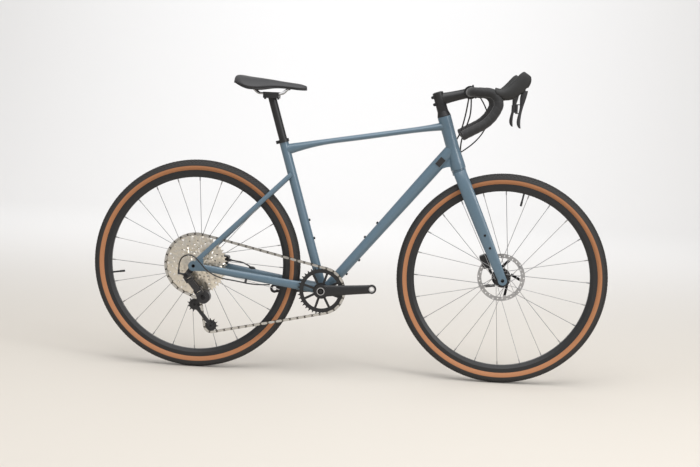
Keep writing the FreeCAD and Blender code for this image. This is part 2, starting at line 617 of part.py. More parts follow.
keep(cut("seat_collar", fuse("collar_body", [collar_ring, collar_lug]), [collar_room, collar_slot]), "seat_collar")

# Seatpost: a tube topped by a cradle with two grooves for the saddle rails
post_radius = S.seatpost_diameter / 2
head_place_up = (S.rail_height - S.post_head_height / 2 - bb.z) / seat_up.z
post_low_place = S.seat_tube_length - S.post_insert
head_centre = on_seat_tube(head_place_up)
post_length = (S.rail_height - S.post_head_height / 2 - (S.wheel_radius - S.bb_drop)) / seat_up.z - post_low_place
post_tube = ring("post_tube", post_radius - S.post_wall, post_radius, 0 * post_length, post_length,
                 facing(on_seat_tube(post_low_place), seat_up))
cradle = box("post_cradle", S.clamp_length, S.clamp_width, S.post_head_height,
             FreeCAD.Placement(head_centre, FreeCAD.Rotation()))
rail_radius = S.rail_diameter / 2
rail_level = Vec(head_centre.x, 0, S.rail_height)
grooves, bolt_holes, clamp_bolts = [], [], []
for name, side in SIDES.items():
    grooves.append(cylinder(
        f"{name}_rail_groove", rail_radius + S.seat_gap, S.clamp_length * 2,
        facing(rail_level - FORWARD * S.clamp_length + LEFT * (side * S.rail_spread), FORWARD)))
    at = rail_level + FORWARD * (side * S.clamp_bolt_place) - UP * (S.post_head_height + S.bolt_head_height)
    bolt_holes.append(cylinder(
        f"{name}_clamp_hole", S.clamp_bolt_radius + S.seat_gap, S.post_head_height * 3, facing(at, UP)))
    clamp_bolts.append(cylinder(
        f"{name}_clamp_bolt", S.clamp_bolt_radius,
        S.post_head_height + S.bolt_head_height + S.clamp_thickness, facing(at, UP)))
    clamp_bolts.append(cylinder(
        f"{name}_clamp_nut", S.clamp_nut_radius, S.bolt_head_height - S.seat_gap, facing(at, UP)))
keep(cut("seatpost", fuse("post_body", [post_tube, cradle]), grooves + bolt_holes), "seatpost")

# Saddle clamp: the upper plate over the rails, with its two bolts
clamp_plate = box(
    "clamp_plate", S.clamp_length, S.clamp_width, S.clamp_thickness,
    FreeCAD.Placement(rail_level + UP * (S.side_gap + S.clamp_thickness / 2), FreeCAD.Rotation()))
keep(fuse("saddle_clamp", [cut("clamp_top", clamp_plate, grooves)] + clamp_bolts), "saddle_clamp")

# Saddle rails: flat where they are clamped, rising to the sockets at both ends
rail_ends, rails = [], []
for name, side in SIDES.items():
    corners = [
        Vec(-S.rail_back_end, side * S.rail_back_spread, S.rail_height + S.rail_rise),
        Vec(-S.rail_back, side * S.rail_spread, S.rail_height),
        Vec(-S.rail_front, side * S.rail_spread, S.rail_height),
        Vec(-S.rail_front_end, side * S.rail_front_spread, S.rail_height + S.rail_rise)]
    rails.append(swept(f"{name}_rail", bent(corners, [S.rail_bend, S.rail_bend]), rail_radius))
    rail_ends += [(corners[0], corners[0] - corners[1]), (corners[3], corners[3] - corners[2])]
keep(group("saddle_rails", rails), "saddle_rails")

# Saddle: crowned cushion over a thin shell, in cross sections from tail to nose.
# Each row of shares is: place along, width, top rise, skirt depth, pad depth.
SADDLE_SHARES = (
    (0.00, 0.46, 0.74, 0.46, 0.50),
    (0.05, 0.74, 0.98, 0.72, 0.85),
    (0.20, 1.00, 0.84, 1.00, 1.00),
    (0.36, 0.86, 0.68, 0.90, 1.00),
    (0.53, 0.54, 0.50, 0.62, 0.95),
    (0.77, 0.34, 0.24, 0.46, 0.85),
    (0.95, 0.27, 0.04, 0.38, 0.70),
    (1.00, 0.16, -0.12, 0.24, 0.40))
EDGE_SHARE = 0.16


def saddle_section(name, x, half_low, half_high, low, high, low_middle, high_middle):
    """A section bounded by an arc above, an arc below and two short sides."""
    corners = [Vec(x, -half_high, high), Vec(x, half_high, high), Vec(x, half_low, low), Vec(x, -half_low, low)]
    return feature(name, Part.Wire([
        Part.Arc(corners[0], Vec(x, 0, high_middle), corners[1]).toShape(),
        Part.LineSegment(corners[1], corners[2]).toShape(),
        Part.Arc(corners[2], Vec(x, 0, low_middle), corners[3]).toShape(),
        Part.LineSegment(corners[3], corners[0]).toShape()]))


cushion_sections, shell_sections = [], []
for count, (along, width, rise, skirt, pad) in enumerate(SADDLE_SHARES, start=1):
    x = S.saddle_length * along - S.saddle_tail
    half = S.saddle_width * width / 2
    crown = S.saddle_nose_top + S.saddle_tail_rise * rise
    low = crown - S.saddle_skirt * skirt
    under = crown - S.saddle_pad * pad
    cushion_sections.append(saddle_section(
        f"cushion_section_{count}", x, half - S.saddle_lip, half, low,
        low + S.saddle_skirt * skirt * EDGE_SHARE, under, crown))
    top_gap, low_gap = S.side_gap, S.side_gap + S.saddle_shell
    shell_sections.append(saddle_section(
        f"shell_section_{count}", x, half - S.saddle_lip, half - S.saddle_lip, low - low_gap,
        low - top_gap, under - low_gap, under - top_gap))
keep(lofted("saddle_cushion", cushion_sections), "saddle_cushion")
shell_loft = lofted("saddle_shell_skin", shell_sections)
sockets = [cylinder(f"rail_socket_{count}", S.socket_radius, S.socket_length, facing(point, direction))
           for count, (point, direction) in enumerate(rail_ends, start=1)]
upper_room = lofted("saddle_upper_room", [
    saddle_section(f"room_section_{count}", *numbers) for count, numbers in enumerate((
        (S.saddle_length * along - S.saddle_tail, S.saddle_width * width / 2 - S.saddle_lip,
         S.saddle_width * width / 2 - S.saddle_lip,
         S.saddle_nose_top + S.saddle_tail_rise * rise - S.saddle_skirt * skirt - S.side_gap,
         S.saddle_nose_top + S.saddle_tail_rise * rise - S.saddle_skirt * skirt + S.saddle_skirt,
         S.saddle_nose_top + S.saddle_tail_rise * rise - S.saddle_pad * pad - S.side_gap,
         S.saddle_nose_top + S.saddle_tail_rise * rise - S.saddle_pad * pad + S.saddle_skirt)
        for along, width, rise, skirt, pad in SADDLE_SHARES), start=1)])
keep(cut("saddle_shell", fuse("shell_with_sockets", [shell_loft] + sockets), [upper_room]), "saddle_shell")

# Fork: steerer, crown, two blades and the ends round the axle, in one piece
fork_along = (front_axle - head_low).normalize()
fork_back = LEFT.cross(fork_along)
half_fork = S.fork_spacing / 2
steerer_top = S.head_tube_length + S.cover_height + S.spacer_height + S.stem_clamp_height - S.overrun
steerer_bore = steerer_radius - S.steerer_wall
steerer = turned("steerer", [[
    (steerer_bore, -S.crown_drop), (S.crown_diameter / 2, -S.crown_drop), (S.crown_diameter / 2, -S.crown_gap),
    (race_radius, -S.crown_gap), (race_radius, S.bearing_height + S.overrun), (steerer_radius, S.race_height),
    (steerer_radius, steerer_top), (steerer_bore, steerer_top)]], head_place)
BLADE_MIDDLE_SHARE, BLADE_LOWER_SHARE = 0.4, 0.75
fork_reach = (front_axle - head_low).Length
tip_spread = half_fork + S.blade_tip_width / 2
fork_end_width = S.blade_tip_width + S.hub_room
fork_parts, fork_hollows = [steerer], []
for name, side in SIDES.items():
    shoulder = head_low + fork_along * S.fork_shoulder + LEFT * (side * S.fork_shoulder_spread)
    tip = front_axle + LEFT * (side * tip_spread)
    middle = shoulder + (tip - shoulder) * BLADE_MIDDLE_SHARE
    middle.y = side * S.blade_middle_spread
    lower = shoulder + (tip - shoulder) * BLADE_LOWER_SHARE
    lower.y = side * (half_fork + S.hub_room + S.blade_lower_width / 2)
    stations = [
        (head_low + fork_along * S.fork_crown_start + LEFT * (side * S.fork_crown_spread), LEFT, fork_back,
         S.blade_crown_width, S.blade_height),
        (shoulder, LEFT, fork_back, S.blade_width, S.blade_height),
        (middle, LEFT, fork_back, S.blade_middle_width, S.blade_middle_height),
        (lower, LEFT, fork_back, S.blade_lower_width, S.blade_lower_height),
        (tip, LEFT, fork_back, S.blade_tip_width, S.blade_tip_height)]
    fork_parts.append(oval_loft(f"{name}_blade", stations))
    fork_hollows.append(oval_loft(f"{name}_blade_hollow", stations[1:4], S.blade_wall))
    fork_parts.append(cylinder(
        f"{name}_fork_end", S.fork_end_radius, fork_end_width,
        sideways(front_axle + LEFT * (half_fork if side > 0 else -half_fork - fork_end_width))))
tyre_channel = cylinder(
    "tyre_channel", S.wheel_radius + S.tyre_room, S.tyre_channel,
    sideways(front_axle - LEFT * (S.tyre_channel / 2)))
front_axle_hole = cylinder(
    "front_axle_hole", axle_radius + S.running_gap, S.fork_spacing * 2, sideways(front_axle - LEFT * S.fork_spacing))
keep(cut("fork", fuse("fork_body", fork_parts), fork_hollows + [tyre_channel, front_axle_hole]), "fork")
keep(thru_axle("front_thru_axle", front_axle, half_fork + fork_end_width), "front_thru_axle")

# Headset cover and spacer, under the stem
cover_low, cover_high = S.head_tube_length + S.side_gap, S.head_tube_length + S.cover_height
sleeve_bore, spacer_radius = steerer_radius + S.seat_gap, S.spacer_diameter / 2
spacer_high = cover_high + S.spacer_height
cover = turned("headset_cone", [[
    (sleeve_bore, cover_low), (head_top_radius, cover_low), (head_top_radius, cover_low + S.overrun),
    (spacer_radius, cover_high), (sleeve_bore, cover_high)]], head_place)
spacer = ring("headset_spacer", sleeve_bore, spacer_radius, cover_high + S.seat_gap, spacer_high, head_place)
keep(group("headset_cover", [cover, spacer]), "headset_cover")

# Stem: a clamp on the steerer, a slightly flattened arm and the back half of the bar clamp
stem_centre = on_steerer(spacer_high + S.seat_gap + S.stem_clamp_height / 2)
stem_turn = FreeCAD.Rotation(LEFT, S.stem_angle)
stem_ahead = stem_turn.multVec(steer_ahead)
stem_up = stem_turn.multVec(steer_up)
bar_centre = stem_centre + stem_ahead * S.stem_length
stem_clamp = cylinder(
    "stem_clamp", S.stem_clamp_diameter / 2, S.stem_clamp_height,
    facing(on_steerer(spacer_high + S.seat_gap), steer_up))
STEM_NECK_SHARE = 0.6
stem_arm = oval_loft("stem_arm", [
    (stem_centre, LEFT, stem_up, S.stem_width, S.stem_clamp_height),
    (stem_centre + stem_ahead * (S.stem_length * STEM_NECK_SHARE), LEFT, stem_up, S.stem_width, S.stem_height),
    (bar_centre, LEFT, stem_up, S.stem_face_width, S.stem_height)])
bar_block = cylinder("bar_block", S.stem_face_radius, S.stem_face_width,
                     sideways(bar_centre - LEFT * (S.stem_face_width / 2)))
stem_bore = cylinder("stem_bore", steerer_radius + S.seat_gap, S.stem_clamp_height * 3,
                     facing(stem_centre - steer_up * (S.stem_clamp_height * 3 / 2), steer_up))
bar_bore = cylinder("bar_bore", S.bar_clamp_diameter / 2 + S.seat_gap, S.stem_face_width * 2,
                    sideways(bar_centre - LEFT * S.stem_face_width))
clamp_turn = FreeCAD.Rotation(LEFT, S.stem_angle - (90 - S.head_angle))


def clamp_half(name, shift):
    """A block that covers the bar clamp ahead of its split, or behind it."""
    return box(name, S.stem_face_radius * 4, S.stem_face_width * 2, S.stem_face_radius * 4,
               FreeCAD.Placement(bar_centre + stem_ahead * shift, clamp_turn))


front_half = clamp_half("stem_front_half", S.stem_face_radius * 2)
back_half = clamp_half("stem_back_half", S.stem_split - S.stem_face_radius * 2)
stem_slit = box("stem_slit", S.stem_clamp_diameter, S.overrun, S.stem_clamp_height * 2,
                FreeCAD.Placement(stem_centre - stem_ahead * (S.stem_clamp_diameter / 2), clamp_turn))
keep(cut("stem", fuse("stem_body", [stem_clamp, stem_arm, bar_block]),
         [stem_bore, bar_bore, front_half, stem_slit]), "stem")

# Faceplate: the front half of the bar clamp, with a window across its middle and four bolt seats
bolt_rise = S.bar_clamp_diameter / 2 + (S.stem_face_radius - S.bar_clamp_diameter / 2) / 2
seat_out = math.sqrt(S.stem_face_radius ** 2 - bolt_rise ** 2)
face_bolts = {}
for name, side in SIDES.items():
    for level, rise in {"upper": 1, "lower": -1}.items():
        face_bolts[f"{name}_{level}"] = bar_centre + stem_ahead * seat_out + stem_up * (bolt_rise * rise) + LEFT * (
            side * (S.stem_face_width / 2 - S.bolt_head_radius - S.overrun))
bolt_seats = [cylinder(f"{name}_bolt_seat", S.bolt_head_radius + S.side_gap, S.stem_face_radius,
                       facing(point, stem_ahead)) for name, point in face_bolts.items()]
window = box("face_window", S.stem_face_radius * 2, S.face_window, S.stem_face_radius,
             FreeCAD.Placement(bar_centre + stem_ahead * S.stem_face_radius, clamp_turn))
keep(cut("stem_faceplate", bar_block, [bar_bore, back_half, window] + bolt_seats), "stem_faceplate")

# Stem hardware: top cap, faceplate bolts and the two pinch bolts behind
hardware = [turned("top_cap", [[
    (0, spacer_high + S.seat_gap * 2 + S.stem_clamp_height),
    (S.stem_clamp_diameter / 2, spacer_high + S.seat_gap * 2 + S.stem_clamp_height),
    (S.stem_clamp_diameter / 2, spacer_high + S.stem_clamp_height + S.cap_height / 2),
    (S.spacer_diameter / 3, spacer_high + S.stem_clamp_height + S.cap_height),
    (0, spacer_high + S.stem_clamp_height + S.cap_height)]], head_place)]
hardware += [cylinder(f"{name}_face_bolt", S.bolt_head_radius, S.bolt_head_height,
                      facing(point + stem_ahead * S.seat_gap, stem_ahead))
             for name, point in face_bolts.items()]
for level, rise in {"upper": 1, "lower": -1}.items():
    at = stem_centre - steer_ahead * (S.stem_clamp_diameter / 2 + S.bolt_radius + S.seat_gap)
    at = at + steer_up * (S.pinch_place * rise) - LEFT * (S.stem_width / 2)
    hardware.append(cylinder(f"{level}_pinch_bolt", S.bolt_radius, S.stem_width, sideways(at)))
keep(group("stem_hardware", hardware), "stem_hardware")

# Drop bar: one bent tube, thicker where the stem clamps it
def bar_corners(side):
    """Corners of one half of the bar, from its top to its end."""
    return [
        bar_centre + LEFT * (side * S.bar_half_width),
        bar_centre + Vec(S.bar_reach, side * S.bar_hood_half_width, 0),
        bar_centre + Vec(S.bar_drop_ahead, side * S.bar_drop_half_width, -S.bar_drop),
        bar_centre + Vec(-S.bar_end_back, side * S.bar_end_half_width, -S.bar_end_drop)]


bar_bends = [S.bar_top_bend, S.bar_front_bend, S.bar_drop_bend]
bar_path = bent(bar_corners(-1)[::-1] + bar_corners(1), bar_bends[::-1] + bar_bends)
bar_radius = S.bar_diameter / 2
clamp_half_length = S.bar_clamp_length / 2
bar_bulge = turned("bar_bulge", [[
    (0, -clamp_half_length - S.bar_clamp_taper), (bar_radius, -clamp_half_length - S.bar_clamp_taper),
    (S.bar_clamp_diameter / 2, -clamp_half_length), (S.bar_clamp_diameter / 2, clamp_half_length),
    (bar_radius, clamp_half_length + S.bar_clamp_taper), (0, clamp_half_length + S.bar_clamp_taper)]],
    sideways(bar_centre))
bar_outside = swept("bar_outside", bar_path, bar_radius)
bar_inside = swept("bar_inside", bar_path, bar_radius - S.bar_wall)
keep(cut("handlebar", fuse("bar_solid", [bar_outside, bar_bulge]), [bar_inside]), "handlebar")

# Bar tape on both sides, and the plugs that hold its ends
tape_radius = S.tape_diameter / 2
tapes, plugs, tape_rooms = [], [], {}
for name, side in SIDES.items():
    path = bent([bar_centre + LEFT * (side * S.tape_start)] + bar_corners(side), bar_bends)
    outside = swept(f"{name}_tape_outside", path, tape_radius)
    tape_rooms[name] = swept(f"{name}_tape_room", path, tape_radius + S.seat_gap)
    inside = swept(f"{name}_tape_inside", path, bar_radius + S.seat_gap)
    tapes.append(cut(f"{name}_tape", outside, [inside]))
    corners = bar_corners(side)
    out = (corners[3] - corners[2]).normalize()
    plugs.append(turned(f"{name}_plug", [[
        (0, -S.plug_stub), (bar_radius - S.bar_wall - S.seat_gap, -S.plug_stub),
        (bar_radius - S.bar_wall - S.seat_gap, S.seat_gap), (tape_radius, S.seat_gap),
        (tape_radius - S.plug_length / 3, S.plug_length), (0, S.plug_length)]], facing(corners[3], out)))
keep(group("bar_tape", tapes + plugs), "bar_tape")

# Lever hoods: a body round the ramp of the bar that rises to a tall horn, with a slot for the lever.
# Each row of shares is: place along, rise, tilt in degrees, height, width.
HOOD_SHARES = (
    (0.000, 0.000, 0, 0.72, 0.97),
    (0.375, -0.020, 5, 0.86, 1.00),
    (0.610, 0.160, 28, 1.00, 0.97),
    (0.840, 0.520, 48, 1.00, 0.91),
    (0.960, 0.825, 55, 0.84, 0.82),
    (1.000, 1.000, 56, 0.52, 0.65))
# Each row of shares is: place down, sway, width, thickness, flare.
LEVER_SHARES = (
    (0.00, 0.50, 1.20, 0.92, 0.00),
    (0.37, -0.15, 1.00, 0.96, 0.10),
    (0.80, -0.72, 0.90, 0.90, 0.65),
    (0.94, -0.60, 0.75, 0.75, 0.90),
    (1.00, -0.35, 0.40, 0.45, 1.00))
SLOT_TOP_SHARE, LEVER_PIN_SHARE = 1.3, 2 / 3
lever_share = (S.lever_ahead - S.hood_start) / S.hood_length
lever_side = S.hood_half_width + S.hood_toe * float(lever_share)
slot_width = S.lever_thickness + 2 * S.slot_room


def lever_pivot(side):
    return bar_centre + Vec(S.lever_ahead, side * lever_side, S.lever_rise)


hoods, lever_bodies = [], {}
for name, side in SIDES.items():
    stations = []
    for along, rise, tilt, height, width in HOOD_SHARES:
        turn = FreeCAD.Rotation(LEFT, -tilt)
        centre = bar_centre + Vec(
            S.hood_start + S.hood_length * along, side * (S.hood_half_width + S.hood_toe * along), S.hood_rise * rise)
        stations.append((centre, LEFT, turn.multVec(UP), S.hood_width * width, S.hood_height * height))
    pivot = lever_pivot(side)
    slot_top = S.lever_eye_radius * SLOT_TOP_SHARE
    slot = box(f"{name}_lever_slot", S.slot_back + S.slot_front, slot_width, S.slot_low + slot_top,
               FreeCAD.Placement(
                   pivot + FORWARD * ((S.slot_front - S.slot_back) / 2) - UP * ((S.slot_low - slot_top) / 2),
                   FreeCAD.Rotation()))
    hood = cut(f"{name}_hood_body", oval_loft(f"{name}_hood_skin", stations), [tape_rooms[name], slot])
    pin = cylinder(f"{name}_lever_pin", S.lever_pin_radius, S.hood_width * LEVER_PIN_SHARE,
                   sideways(pivot - LEFT * (S.hood_width * LEVER_PIN_SHARE / 2)))
    hoods.append(fuse(f"{name}_hood", [hood, pin]))
    blade = oval_loft(f"{name}_lever_blade", [
        (pivot + Vec(S.lever_sway * sway, side * S.lever_flare * flare, -S.lever_length * down), FORWARD, LEFT,
         S.lever_width * width, S.lever_thickness * thickness)
        for down, sway, width, thickness, flare in LEVER_SHARES])
    eye = cylinder(f"{name}_lever_eye", S.lever_eye_radius, S.lever_thickness,
                   sideways(pivot - LEFT * (S.lever_thickness / 2)))
    bore = cylinder(f"{name}_lever_bore", S.lever_pin_radius + S.running_gap, S.hood_width,
                    sideways(pivot - LEFT * (S.hood_width / 2)))
    lever_bodies[name] = cut(f"{name}_lever", fuse(f"{name}_lever_solid", [blade, eye]), [bore])
keep(group("lever_hoods", hoods), "lever_hoods")
keep(lever_bodies["left"], "brake_lever_left")

# Shift paddle behind the right brake lever, on an upright pin between two ears
PADDLE_FLARE_SHARE = 0.25
paddle_point = lever_pivot(-1) + Vec(-S.paddle_back, -S.lever_flare * PADDLE_FLARE_SHARE, -S.paddle_place)
paddle_parts = [lever_bodies["right"]]
ear_rise = S.paddle_height / 2 + S.side_gap + S.paddle_ear / 2
for level, rise in {"upper": 1, "lower": -1}.items():
    paddle_parts.append(box(
        f"{level}_paddle_ear", S.paddle_back, S.paddle_knuckle_radius * 2, S.paddle_ear,
        FreeCAD.Placement(
            paddle_point + FORWARD * (S.paddle_back / 2 - S.paddle_knuckle_radius) + UP * (ear_rise * rise),
            FreeCAD.Rotation())))
paddle_parts.append(cylinder("paddle_pin", S.paddle_pin_radius, S.paddle_height + S.paddle_ear,
                             facing(paddle_point - UP * (S.paddle_height / 2 + S.paddle_ear / 2), UP)))
keep(fuse("brake_lever_right", paddle_parts), "brake_lever_right")
paddle_knuckle = cylinder("paddle_knuckle", S.paddle_knuckle_radius, S.paddle_height,
                          facing(paddle_point - UP * (S.paddle_height / 2), UP))
paddle_plate = box("paddle_plate", S.paddle_length, S.paddle_thickness, S.paddle_height,
                   FreeCAD.Placement(paddle_point - FORWARD * (S.paddle_length / 2), FreeCAD.Rotation()))
paddle_bore = cylinder("paddle_bore", S.paddle_pin_radius + S.running_gap, S.paddle_height * 2,
                       facing(paddle_point - UP * S.paddle_height, UP))
keep(cut("shift_paddle", fuse("paddle_solid", [paddle_knuckle, paddle_plate]), [paddle_bore]), "shift_paddle")


# Wheels: tyre, rim, hub, laced spokes, rotor and valve

def prism(start, end, radius, sides=6):
    """A straight bar with flat sides."""
    run = end - start
    place = facing(start, run)
    turns = [2 * math.pi * count / sides for count in range(sides + 1)]
    corners = [place.multVec(Vec(radius * math.cos(turn), radius * math.sin(turn), 0)) for turn in turns]
    return Part.Face(Part.makePolygon(corners)).extrude(run)


def around(radius, angle, y=0):
    return Vec(radius * math.cos(math.radians(angle)), y, radius * math.sin(math.radians(angle)))


def wheel(name, axle, half_spacing, left_flange, right_flange, right_end, valve_angle):
    place = sideways(axle)
    half_rim, flange_top = S.rim_width / 2, S.bead_radius + S.rim_flange_height
    half_tyre, half_keel = S.tyre_width / 2, S.rim_keel_width / 2
    inside_flange, shoulder = half_rim - S.rim_flange, S.bead_radius - S.rim_shoulder

    # Rim: two flanges over a hollow box that narrows to the spoke bed
    rim_outside = [
        (flange_top, -half_rim), (flange_top, -inside_flange), (S.bead_radius, -inside_flange),
        (S.bead_radius, inside_flange), (flange_top, inside_flange), (flange_top, half_rim), (shoulder, half_rim),
        (S.rim_inner_radius, half_keel), (S.rim_inner_radius, -half_keel), (shoulder, -half_rim)]
    cavity_low, cavity_high = S.rim_inner_radius + S.rim_bed, S.bead_radius - S.rim_bed
    rim_inside = [
        (cavity_high, -inside_flange), (cavity_high, inside_flange), (shoulder, inside_flange),
        (cavity_low, half_keel - S.rim_bed / 2), (cavity_low, S.rim_bed / 2 - half_keel), (shoulder, -inside_flange)]
    valve_out = around(1, valve_angle)
    valve_hole = cylinder(f"{name}_valve_hole", S.valve_radius + S.seat_gap, S.bead_radius,
                          facing(axle + valve_out * (S.bead_radius / 2), valve_out))
    rim = cut(f"{name}_rim_drilled", turned(f"{name}_rim_ring", [rim_outside, rim_inside], place), [valve_hole])

    # Tyre: a hollow round casing whose beads sit between the rim's flanges
    casing = doc.addObject("Part::Torus", f"{name}_tyre_casing")
    bind(casing, Radius1=S.wheel_radius - half_tyre, Radius2=half_tyre)
    casing.Placement = place
    hollow, tyre_centre = half_tyre - S.tyre_wall, S.wheel_radius - half_tyre
    turns = [math.radians(angle) for angle in range(-150, 180, 30)]
    air = turned(f"{name}_tyre_air", [[
        (tyre_centre + hollow * math.cos(turn), hollow * math.sin(turn)) for turn in turns]], place)
    bead_outer = inside_flange - S.seat_gap
    bead_low, bead_high = S.bead_radius + S.seat_gap, flange_top + S.seat_gap
    beads, rooms = [], [ring(f"{name}_bed_room", S.rim_inner_radius, bead_low, -half_tyre, half_tyre, place),
                        ring(f"{name}_well", S.rim_inner_radius, tyre_centre, -S.bead_inner, S.bead_inner, place)]
    for side, sign in SIDES.items():
        beads.append(ring(f"{name}_{side}_bead", bead_low, tyre_centre - hollow / 2,
                          sign * S.bead_inner, sign * bead_outer, place))
        rooms.append(ring(f"{name}_{side}_flange_room", S.rim_inner_radius, bead_high,
                          sign * bead_outer, sign * half_tyre, place))
    tyre_solid = fuse(f"{name}_tyre_solid", [cut(f"{name}_tyre_shell", casing, [air])] + beads)
    keep(cut(f"{name}_tyre", tyre_solid, rooms), f"{name}_tyre")

    # Valve: a stem through the rim, with a cap inside the wheel; both share the rim's node
    valve_foot = S.rim_inner_radius - S.valve_length
    valve_top = S.bead_radius + S.seat_gap
    valve = turned(f"{name}_valve", [[
        (0, valve_foot - S.valve_cap_length), (S.valve_cap_radius, valve_foot - S.valve_cap_length),
        (S.valve_cap_radius, valve_foot), (S.valve_radius, valve_foot), (S.valve_radius, valve_top),
        (S.valve_seat_radius, valve_top), (S.valve_seat_radius, valve_top + S.overrun), (0, valve_top + S.overrun)]],
        facing(axle, valve_out))
    keep(group(f"{name}_rim", [rim, valve]), f"{name}_rim")

    # Hub: end caps, two spoke flanges and the seat of the rotor
    rotor_y = half_spacing - S.rotor_inset
    rotor_back, rotor_front = rotor_y - S.rotor_thickness / 2, rotor_y + S.rotor_thickness / 2
    half_flange, bore = S.flange_thickness / 2, axle_radius + S.running_gap
    hub_left = half_spacing - S.side_gap
    lock_end = rotor_front + S.seat_gap + S.lock_thickness
    seat = S.rotor_seat - S.seat_gap
    hub = turned(f"{name}_hub", [[
        (bore, right_end), (S.hub_cap_radius, right_end), (S.hub_cap_radius, -right_flange - half_flange),
        (S.flange_radius, -right_flange - half_flange), (S.flange_radius, half_flange - right_flange),
        (S.hub_radius, half_flange - right_flange), (S.hub_radius, left_flange - half_flange),
        (S.flange_radius, left_flange - half_flange), (S.flange_radius, left_flange + half_flange),
        (S.rotor_shoulder, left_flange + half_flange), (S.rotor_shoulder, rotor_back - S.seat_gap),
        (seat, rotor_back - S.seat_gap), (seat, lock_end), (S.hub_cap_radius, lock_end),
        (S.hub_cap_radius, hub_left), (bore, hub_left)]], place)
    keep(hub, f"{name}_hub")

    # Spokes: crossed twice, half on each face of a flange
    spokes = []
    step = 360 / SPOKES
    for count in range(SPOKES):
        sign, along = (1, left_flange) if count % 2 else (-1, right_flange)
        lead = 1 if (count // 2) % 2 else -1
        face = half_flange + S.spoke_radius + S.seat_gap
        start = axle + around(S.flange_pitch_radius, step * count, sign * along + lead * face)
        nipple_end = S.rim_inner_radius - S.side_gap * NIPPLE_ROOM_SHARE
        aim = axle + around(nipple_end, step * (count + lead * SPOKE_LEAD), sign * half_keel / 4)
        run = (aim - start).normalize()
        if lead == sign:
            start.y += sign * abs(run.y) * S.flange_crossing
            run = (aim - start).normalize()
        nipple = aim - run * S.nipple_length
        spokes += [prism(start, nipple, S.spoke_radius), prism(nipple, aim, S.nipple_radius)]
    keep(feature(f"{name}_spokes", Part.makeCompound(spokes)), f"{name}_spokes")

    # Rotor: a drilled brake band on slanted arms, and its lock ring
    band_inner = S.rotor_radius - S.rotor_band
    parts = [ring(f"{name}_rotor_band", band_inner, S.rotor_radius, rotor_back, rotor_front, place),
             ring(f"{name}_rotor_carrier", S.rotor_seat, S.rotor_carrier_radius, rotor_back, rotor_front, place)]
    arm_length = S.rotor_radius - S.rotor_carrier_radius
    for count in range(ROTOR_ARMS):
        angle = 360 / ROTOR_ARMS * count
        middle = axle + around((S.rotor_radius + S.rotor_carrier_radius) * ROTOR_ARM_SHARE, angle, rotor_y)
        parts.append(box(f"{name}_rotor_arm_{count + 1}", arm_length, S.rotor_thickness, S.rotor_arm,
                         FreeCAD.Placement(middle, FreeCAD.Rotation(LEFT, ROTOR_SLANT - angle))))
    drills = []
    for count in range(ROTOR_HOLES):
        radius = S.rotor_radius - S.rotor_band * ROTOR_HOLE_SHARES[count % 3]
        hole = axle + around(radius, 360 / ROTOR_HOLES * count, rotor_y - S.rotor_thickness)
        drills.append(prism(hole, hole + LEFT * (S.rotor_thickness * 2), S.rotor_hole, sides=4))
    holes = feature(f"{name}_rotor_holes", Part.makeCompound(drills))
    lock = ring(f"{name}_rotor_lock", S.rotor_seat, S.rotor_shoulder, rotor_front + S.seat_gap, lock_end, place)
    rotor = cut(f"{name}_rotor_disc", fuse(f"{name}_rotor_plate", parts), [holes])
    keep(group(f"{name}_rotor", [rotor, lock]), f"{name}_rotor")
    return axle + LEFT * rotor_y


NIPPLE_ROOM_SHARE, ROTOR_ARM_SHARE = 1.5, 1 / 2.1
ROTOR_HOLE_SHARES = (0.3, 0.5, 0.7)
ROTOR_SLANT = 28
front_rotor_centre = wheel("front", front_axle, half_fork, S.front_flange_left, S.front_flange_right,
                           S.side_gap - half_fork, S.front_valve_angle)
rear_rotor_centre = wheel("rear", rear_axle, half_rear, S.rear_flange_left, S.rear_flange_right,
                          -S.rear_flange_right - S.hub_end, S.rear_valve_angle)


# Brake callipers: a body slotted over the rotor, with a pad on each side of it

def caliper(name, rotor_centre, centre, along, up):
    """Along and up are the body's long and upright directions."""
    turn = FreeCAD.Rotation(along, up.cross(along), up, "XZY")
    body = doc.addObject("Part::Box", f"{name}_caliper_block")
    bind(body, Length=S.caliper_length, Width=S.caliper_width, Height=S.caliper_height)
    corner = Vec(S.caliper_length / 2, S.caliper_width / 2, S.caliper_height / 2)
    body.Placement = FreeCAD.Placement(centre, turn).multiply(FreeCAD.Placement(-corner, FreeCAD.Rotation()))
    rounded = doc.addObject("Part::Fillet", f"{name}_caliper_body")
    rounded.Base = body
    doc.recompute()
    edges = [count for count, edge in enumerate(body.Shape.Edges, start=1)
             if abs(abs(edge.tangentAt(edge.FirstParameter).y) - 1) < ROUNDING]
    rounded.Edges = [(count, float(S.caliper_corner), float(S.caliper_corner)) for count in edges]
    half_slot = S.rotor_thickness / 2 + S.pad_gap + S.pad_thickness
    slot = cylinder(f"{name}_rotor_slot", S.rotor_radius + S.rotor_room, half_slot * 2,
                    sideways(rotor_centre - LEFT * half_slot))
    out = centre - rotor_centre
    out.y = 0
    out.normalize()
    pad_turn = FreeCAD.Rotation(LEFT, math.degrees(math.atan2(out.x, out.z)))
    pad_y = S.rotor_thickness / 2 + S.pad_gap + S.pad_thickness / 2
    pads = [box(f"{name}_{side}_pad", S.pad_length, S.pad_thickness, S.pad_height, FreeCAD.Placement(
        rotor_centre + out * (S.rotor_radius - S.pad_height / 2) + LEFT * (sign * pad_y), pad_turn))
        for side, sign in SIDES.items()]
    return fuse(f"{name}_brake_caliper", [cut(f"{name}_caliper_shell", rounded, [slot])] + pads)


ROUNDING = 1e-6
doc.recompute()
left_blade = doc.getObject("left_blade").Shape
SEAT_SHARES = (-0.5, -0.25, 0, 0.25, 0.5)


